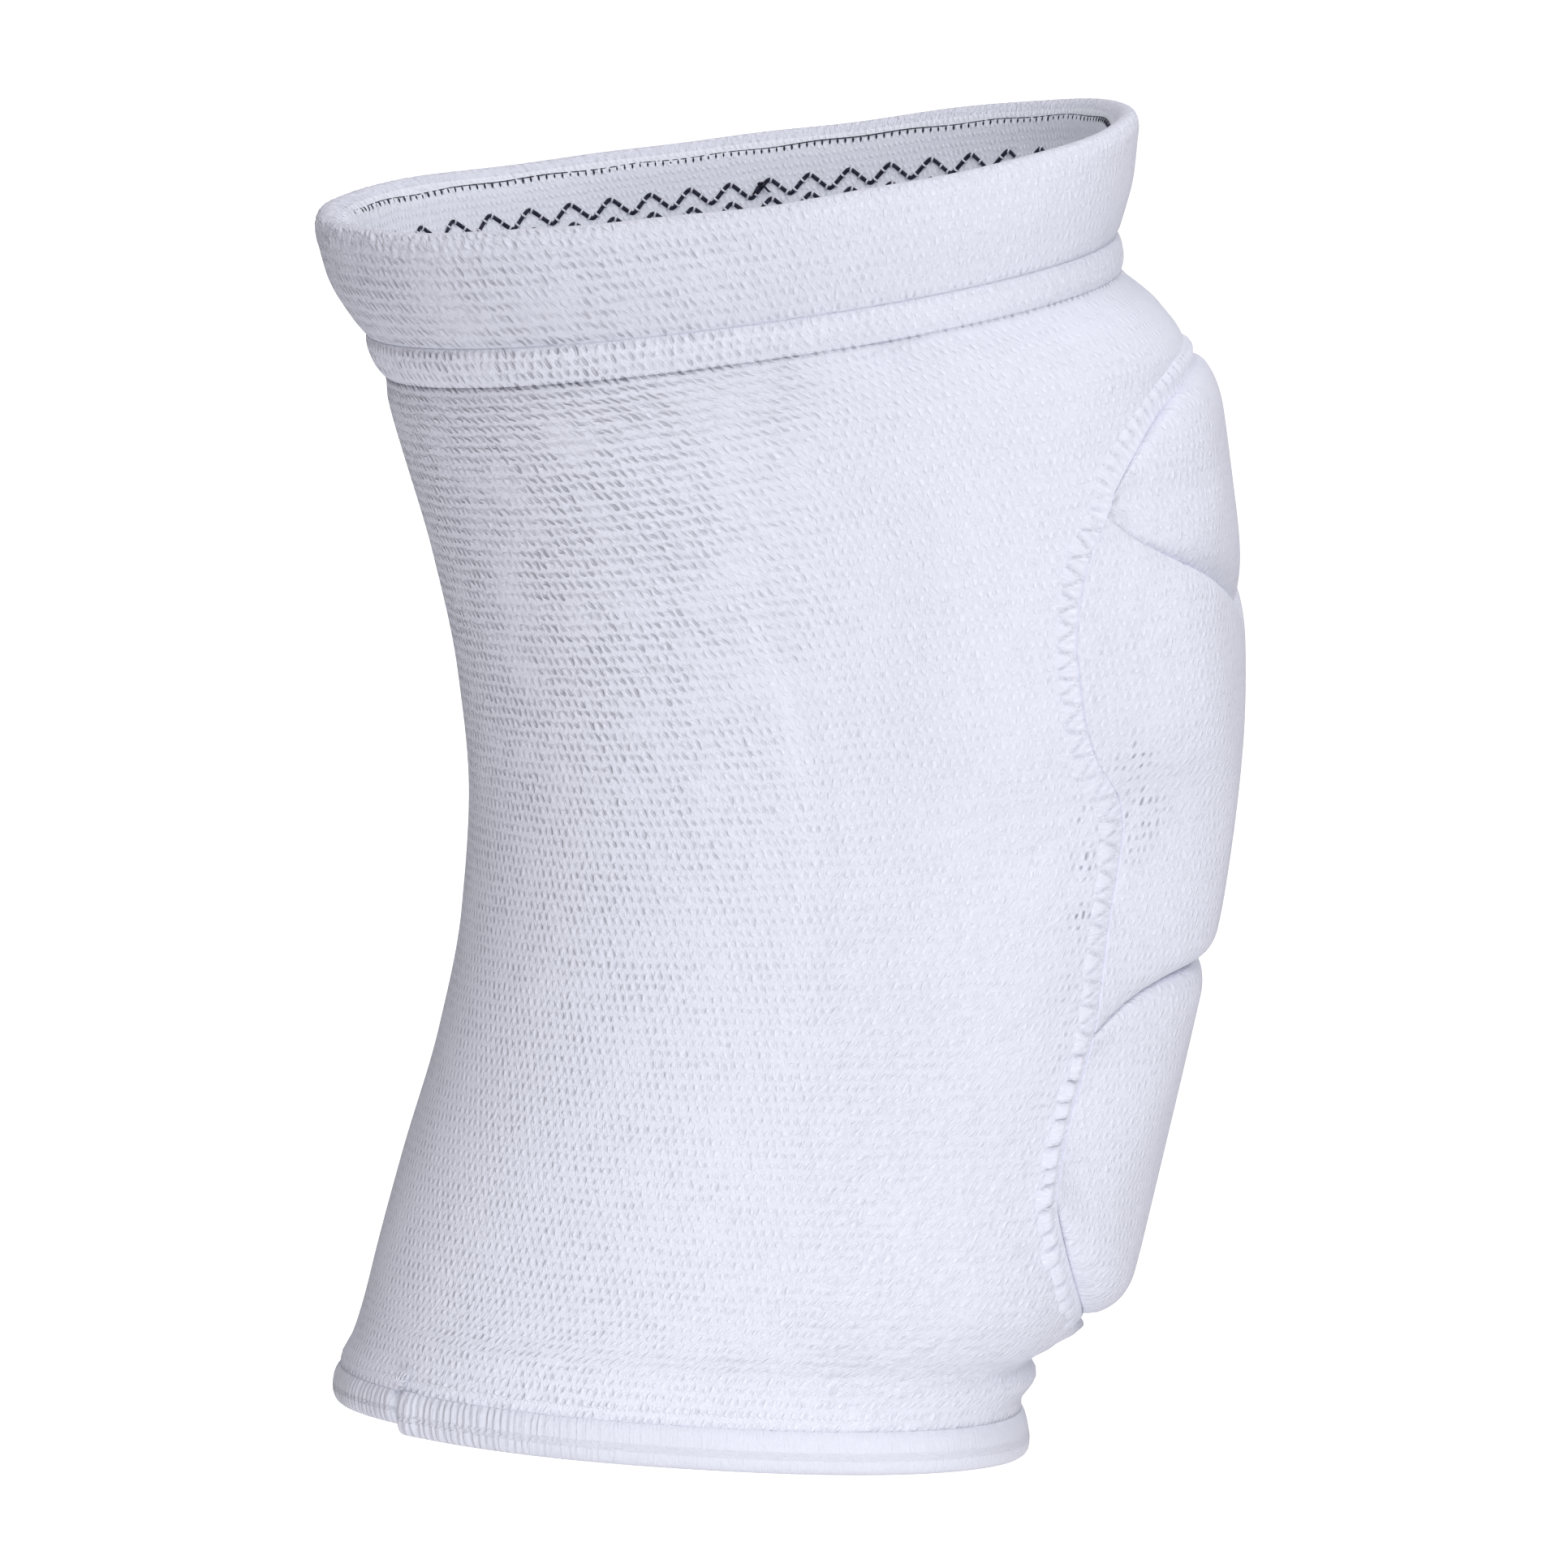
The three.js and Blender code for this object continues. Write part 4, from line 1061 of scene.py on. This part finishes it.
def welt_height(up, way, q):
    """The seam's height over the skin at q, from -1 on the pads to 1 on the sleeve, where its
    edge lies just under the knit. On the pads' side it rises to the border of their covers. It
    is low and narrow round the crown, broad and creased by the zigzag beside the knee, and
    lower down a row of round beads, each a little unlike its neighbours: sqrt(1 - (1 - g)^3)
    of g, the share of the way from a stitch to the bead's middle."""
    hooked, crossed, beaded = zones(up)
    beads = stitch_phases(way, q)[1]
    own = np.sin(2.4 * np.floor(beads) + 1) * beaded
    front = bump(up - CROWN[0], 0.01)
    full = hooked * (0.0005 + 0.0009 * front) + crossed * 0.0009
    full = full + beaded * 0.0015 * (0.3 + 0.7 * np.clip((up + 0.43) / 0.07, 0, 1))
    half = hooked * 0.62 + crossed * 0.82 + beaded * (0.56 + 0.07 * own)
    crest = np.clip(1 - ((q - 0.12 * own) / half) ** 2, 0, 1) ** 0.8
    off_middle = 1 - 2 * abs(beads - np.round(beads))
    ball = np.sqrt(np.clip(1 - off_middle**3, 0, 1))
    along = 1 - 0.45 * near_stitch(up, way, q) * (1 - beaded) - beaded * 0.75 * (1 - ball)
    border = WELT_UNDER - (0.001 + 0.0012 * front * hooked) * np.clip(0.2 - q, 0, 0.8)
    return (full * (1 + 0.2 * own) + border) * crest * along - border


welt_turn = around(WELT_SIDES)
welt_q = np.cos(welt_turn)


def beside_seam(up, turn, aside, q):
    """Points of the skin beside the seam's own: the distance WELT_HALF * q along aside, shared
    out between the ways round and up the skin."""
    step = 0.0001
    level = skin(up, turn + step) - skin(up, turn - step)
    rise = skin(up + step, turn) - skin(up - step, turn)
    by_turn, by_up = (
        2 * step * (aside * way).sum(-1) / (way * way).sum(-1) * WELT_HALF * q for way in (level, rise)
    )
    return skin(up + by_up, turn + by_turn)


def welt():
    """Rings across the seam, and their map: over its back from the pads to the sleeve, and
    nearly flat beneath."""
    ahead = along_closed(skin(seam_up, seam_turn))
    aside = unit(np.cross(ahead, outwards))
    q = welt_q * np.ones((SEAM_POINTS, 1))
    over = welt_height(seam_up[:, None], seam_way[:, None], q)
    above = np.where(np.sin(welt_turn) > 1e-9, over, -WELT_UNDER - 0.0006 * abs(np.sin(welt_turn)))
    centres = beside_seam(seam_up[:, None], seam_turn[:, None], aside[:, None], q)
    rings = centres + outwards[:, None] * above[..., None]
    wales = seam_length / SEAM_POINTS / WELT_WALE * np.arange(SEAM_POINTS + 1)
    u = wales[:, None] * np.ones(WELT_SIDES + 1)
    v = WELT_COURSES * np.arange(WELT_SIDES + 1) / WELT_SIDES * np.ones((SEAM_POINTS + 1, 1))
    return rings[:, ::-1], np.stack([u, v], -1)


welt_rings, welt_uv = welt()
seam_welt = shell("seam_welt", welt_rings, welt_uv)
seam_knit = knit("seam_knit", (0.84, 0.855, 0.965), KNIT_DEEP, 0.0002, hairy=0.8)
# Painted shade in the creases where the stitches pull the welt in
stitch_shade = 0.32 * near_stitch(seam_up[:, None], seam_way[:, None], welt_q)
finish_piece(
    seam_welt, seam_knit, "pad_seam", "seam_thread", welt_rings,
    crisp=0.15, lean=0.0, shaded=stitch_shade[:, ::-1],
)


# The threads of the seam, of twisted white yarn: a loose zigzag over it beside the knee, short
# hooks over the crown, and curved stitches between the lower beads.
YARN_TWIST = 0.0012


def tubes(name, centres, outward, radius, flat=1.0, sides=6, looped=False):
    """Closed tubes, one through each row of centres, flattened to a share of their width along
    outward. Round each centre lie the points centre + radius (cos, flat sin). The ends are
    rounded off by a last ring drawn in, unless the tubes are loops."""
    count, points = centres.shape[:2]
    ahead = np.gradient(centres, axis=1)
    if looped:
        ahead = np.roll(centres, -1, 1) - np.roll(centres, 1, 1)
    ahead = unit(ahead)
    aside = unit(np.cross(ahead, outward))
    over = np.cross(aside, ahead)
    radii = np.full((count, points), radius)
    if not looped:
        radii[:, [0, -1]] *= 0.35
    turn = around(sides)
    ring = aside[:, :, None] * np.cos(turn)[:, None] + over[:, :, None] * (flat * np.sin(turn))[:, None]
    rings = centres[:, :, None] + ring * radii[..., None, None]
    i, j = np.meshgrid(np.arange(points if looped else points - 1), np.arange(sides), indexing="ij")
    k = (i + 1) % points
    corners = [i * sides + j, k * sides + j, k * sides + (j + 1) % sides, i * sides + (j + 1) % sides]
    quads = np.stack(corners, -1).reshape(-1, 4)
    faces = (quads[None] + np.arange(count)[:, None, None] * points * sides).reshape(-1, 4).tolist()
    if not looped:
        start = np.arange(sides)[None] + np.arange(count)[:, None] * points * sides
        faces += start.tolist() + (start[:, ::-1] + (points - 1) * sides).tolist()
    steps = np.linalg.norm(np.diff(centres, axis=1, prepend=centres[:, :1]), axis=-1)
    u = (np.cumsum(steps, 1) / YARN_TWIST)[..., None] * np.ones(sides)
    v = np.broadcast_to(np.arange(sides) / sides, u.shape)
    mesh = bpy.data.meshes.new(name)
    mesh.from_pydata(rings.reshape(-1, 3), [], faces)
    corner_of = np.empty(len(mesh.loops), np.int64)
    mesh.loops.foreach_get("vertex_index", corner_of)
    return placed(name, mesh, np.stack([u, v], -1).reshape(-1, 2)[corner_of])


def thread(name, colour, deep, roughness):
    """Twisted yarn: slanted ridges, wave(along + around), over fine fibres."""
    finish = Finish(name, colour, roughness, 0.2)
    place = finish.node("UVMap", {"uv_map": "knit"}, {})
    along = finish.value("SeparateXYZ", {}, {"Vector": place}, 0)
    round_it = finish.value("SeparateXYZ", {}, {"Vector": place}, 1)
    twist = (along + round_it).wave()
    spot = finish.node("TexCoord", {}, {}, "Object")
    full = twist * 0.8 + 0.4 * finish.noise(spot, 4000, 2)
    # Painted shade between the twist's ridges, with the fibres' own light and dark
    shade = (1 - full).clamped()
    finish.sockets(finish.shader, {"Base Color": finish.mixed(shade, (*colour, 1), (*deep, 1))})
    finish.relief(full, 0.0001)
    return finish.material


white_thread = thread("white_thread", (0.86, 0.87, 0.94), (0.6, 0.61, 0.72), 0.55)
navy_thread = thread("navy_thread", (0.02, 0.022, 0.05), (0.008, 0.009, 0.02), 0.6)


def sewn(made, material):
    """Finishes a piece of thread, which stands for no CAD node."""
    finish_piece(made, material, None, "seam_thread")


def on_seam(way, side):
    """The seam's (up, angle) at distances from the crown's middle, on one side."""
    half = slice(SEAM_POINTS // 2)
    turn = np.interp(way, seam_way[half], seam_turn[half])
    return np.interp(way, seam_way[half], seam_up[half]), side * turn


def across_seam(way, q, side, extra):
    """Points extra over the welt at a distance along the seam and q across it, and the
    directions out of the skin there."""
    up, turn = on_seam(way, side)
    index = np.round(way / seam_length * SEAM_POINTS).astype(int) * side % SEAM_POINTS
    ahead = along_closed(skin(seam_up, seam_turn))[index]
    aside = unit(np.cross(ahead, outwards[index]))
    lift = welt_height(up, way, q) + extra
    return beside_seam(up, turn, side * aside, q) + outwards[index] * lift[..., None], outwards[index]


SEAM_YARN, STITCH_YARN = 0.00016, 0.00015
half_up, half_way = seam_up[: SEAM_POINTS // 2], seam_way[: SEAM_POINTS // 2]
crown_end, bead_start, bead_end = (
    np.interp(-level, -half_up, half_way) for level in (ZIGZAG_TOP, ZIGZAG_FOOT, PUCKERS_FOOT)
)
for side, name in ((1, "near"), (-1, "far")):
    way = np.arange(crown_end, bead_start, STITCH_PITCH / 18)
    line, out = across_seam(way, zigzag_at(way), side, -0.00002)
    sewn(tubes(name + "_seam_zigzag", line[None], out[None], SEAM_YARN), white_thread)
    bow = np.linspace(-1, 1, 9)
    for kind, pitch, first, last, reach, shift, sag in (
        ("hooks", HOOK_PITCH, 0.004, crown_end, 0.34, 0.2, HOOK_SAG),
        ("bead_stitches", BEAD_PITCH, bead_start, bead_end, 0.5, 0.0, BEAD_SAG),
    ):
        q = bow * reach + shift
        starts = np.arange(np.ceil(first / pitch), np.floor(last / pitch)) * pitch
        way = starts[:, None] - sag * (1 - q * q)
        line, out = across_seam(way, q * np.ones(way.shape), side, -0.00004)
        sewn(tubes(name + "_" + kind, line, out, STITCH_YARN), white_thread)


# Inside the cuff, where two rows of dark zigzag sewing hold the lining's elastic: a navy yarn
# under fine white crossing threads, and near the lip a row of small dark stitches.
ZIGZAGS = 51
ZIGZAG_RISE = 0.0017
NAVY_YARN, LOOP_YARN = 0.00034, 0.00017
LOOPS = ZIGZAGS * 5
for name, row_up in (("upper_lining_zigzag", 0.448), ("lower_lining_zigzag", 0.4325)):
    theta = around(ZIGZAGS * 24)
    wave = 2 / np.pi * np.arcsin(0.93 * np.sin(ZIGZAGS * theta))
    up = row_up + ZIGZAG_RISE / HEIGHT * wave
    line = skin(up, theta, -CUFF_WALL - 0.0001)
    inwards = skin(up, theta, -CUFF_WALL - 0.001) - line
    sewn(tubes(name, line[None], inwards[None], NAVY_YARN, 0.7, looped=True), navy_thread)
    place = (np.arange(LOOPS) + 0.5) / LOOPS
    arc = np.linspace(-1, 1, 5)
    index = (place * len(theta)).astype(int)
    ahead = along_closed(line)[index]
    inward = unit(inwards)[index]
    aside = np.cross(ahead, inward)
    rows = line[index][:, None] + aside[:, None] * (arc * 0.0006)[None, :, None]
    rows = rows + inward[:, None] * ((1 - arc**2) * 0.00042 - 0.00005)[None, :, None]
    inward_rows = np.repeat(inward[:, None], len(arc), 1)
    sewn(tubes(name + "_loops", rows, inward_rows, LOOP_YARN, sides=4), white_thread)

LIP_STITCHES = 270
LIP_ROW_UP = 0.4785
theta = around(LIP_STITCHES)[:, None] * np.ones(3)
up = LIP_ROW_UP + np.linspace(-1, 1, 3) * 0.0004 / HEIGHT + 0.0001 / HEIGHT * np.sin(23 * theta)
lip_depth = CUFF_WALL / 2 * (1 + np.sqrt(1 - ((up - CREST_UP) * HEIGHT / CUFF_LIP + 1) ** 2))
line = skin(up, theta, -lip_depth)
inwards = skin(up, theta, -lip_depth - 0.001) - line
sewn(tubes("lip_stitches", line, inwards, 0.0002, sides=5), navy_thread)
lip_line, lip_inwards = line[None, :, 2], inwards[None, :, 2]
sewn(tubes("lip_thread", lip_line, lip_inwards, 0.00009, sides=5, looped=True), navy_thread)


# A row of white stitches on the sleeve just over the hem, which hold its rolled edge.
HEM_STITCHES = 300
HEM_STITCH_HALF = 0.0011
OVER_HEM = 0.0011
stitch = np.linspace(-1, 1, 5)
theta = around(HEM_STITCHES)[:, None] + stitch * HEM_STITCH_HALF / (DEPTH / 2)
up = SLEEVE_FOOT_UP + (OVER_HEM + 0.0002 * stitch + 0.0001 * np.sin(31 * theta)) / HEIGHT
line = skin(up, theta, 0.00045)
out = skin(up, theta, 0.00145) - line
sewn(tubes("hem_stitches", line, out, SEAM_YARN, 0.8, sides=5), white_thread)


# Where the sewing was ended: a white tuft at the hem's lap, and dark tails inside the cuff.
t = np.linspace(0, 1, 6)
TUFT_ANGLE, TUFT_TALL = 148.7, 0.0022
spread = np.linspace(-1, 1, 7)[:, None]
up = HEM_SEAM_UP + (0.0003 + TUFT_TALL * t + 0.0007 * t * t * np.cos(9 * spread)) / HEIGHT
theta = np.radians(TUFT_ANGLE + spread * (0.4 + 1.1 * t))
line = skin(up, theta, 0.001 + 0.0009 * np.sin(np.pi * t))
out = skin(up, theta, 0.003) - line
sewn(tubes("hem_tuft", line, out, 0.00013, sides=5), white_thread)

TAILS_ANGLE, TAILS_UP = -84.5, 0.4505
spread = np.linspace(-1, 1, 4)[:, None]
up = TAILS_UP + (0.0011 * t * np.cos(2.5 * spread) + 0.0003 * np.sin(5 * t)) / HEIGHT
theta = np.radians(TAILS_ANGLE + spread * 1.6 * t)
line = skin(up, theta, -CUFF_WALL - 0.0002 - 0.0008 * np.sin(np.pi * t))
out = skin(up, theta, -CUFF_WALL - 0.002) - line
sewn(tubes("thread_tails", line, out, 0.0002, sides=5), navy_thread)
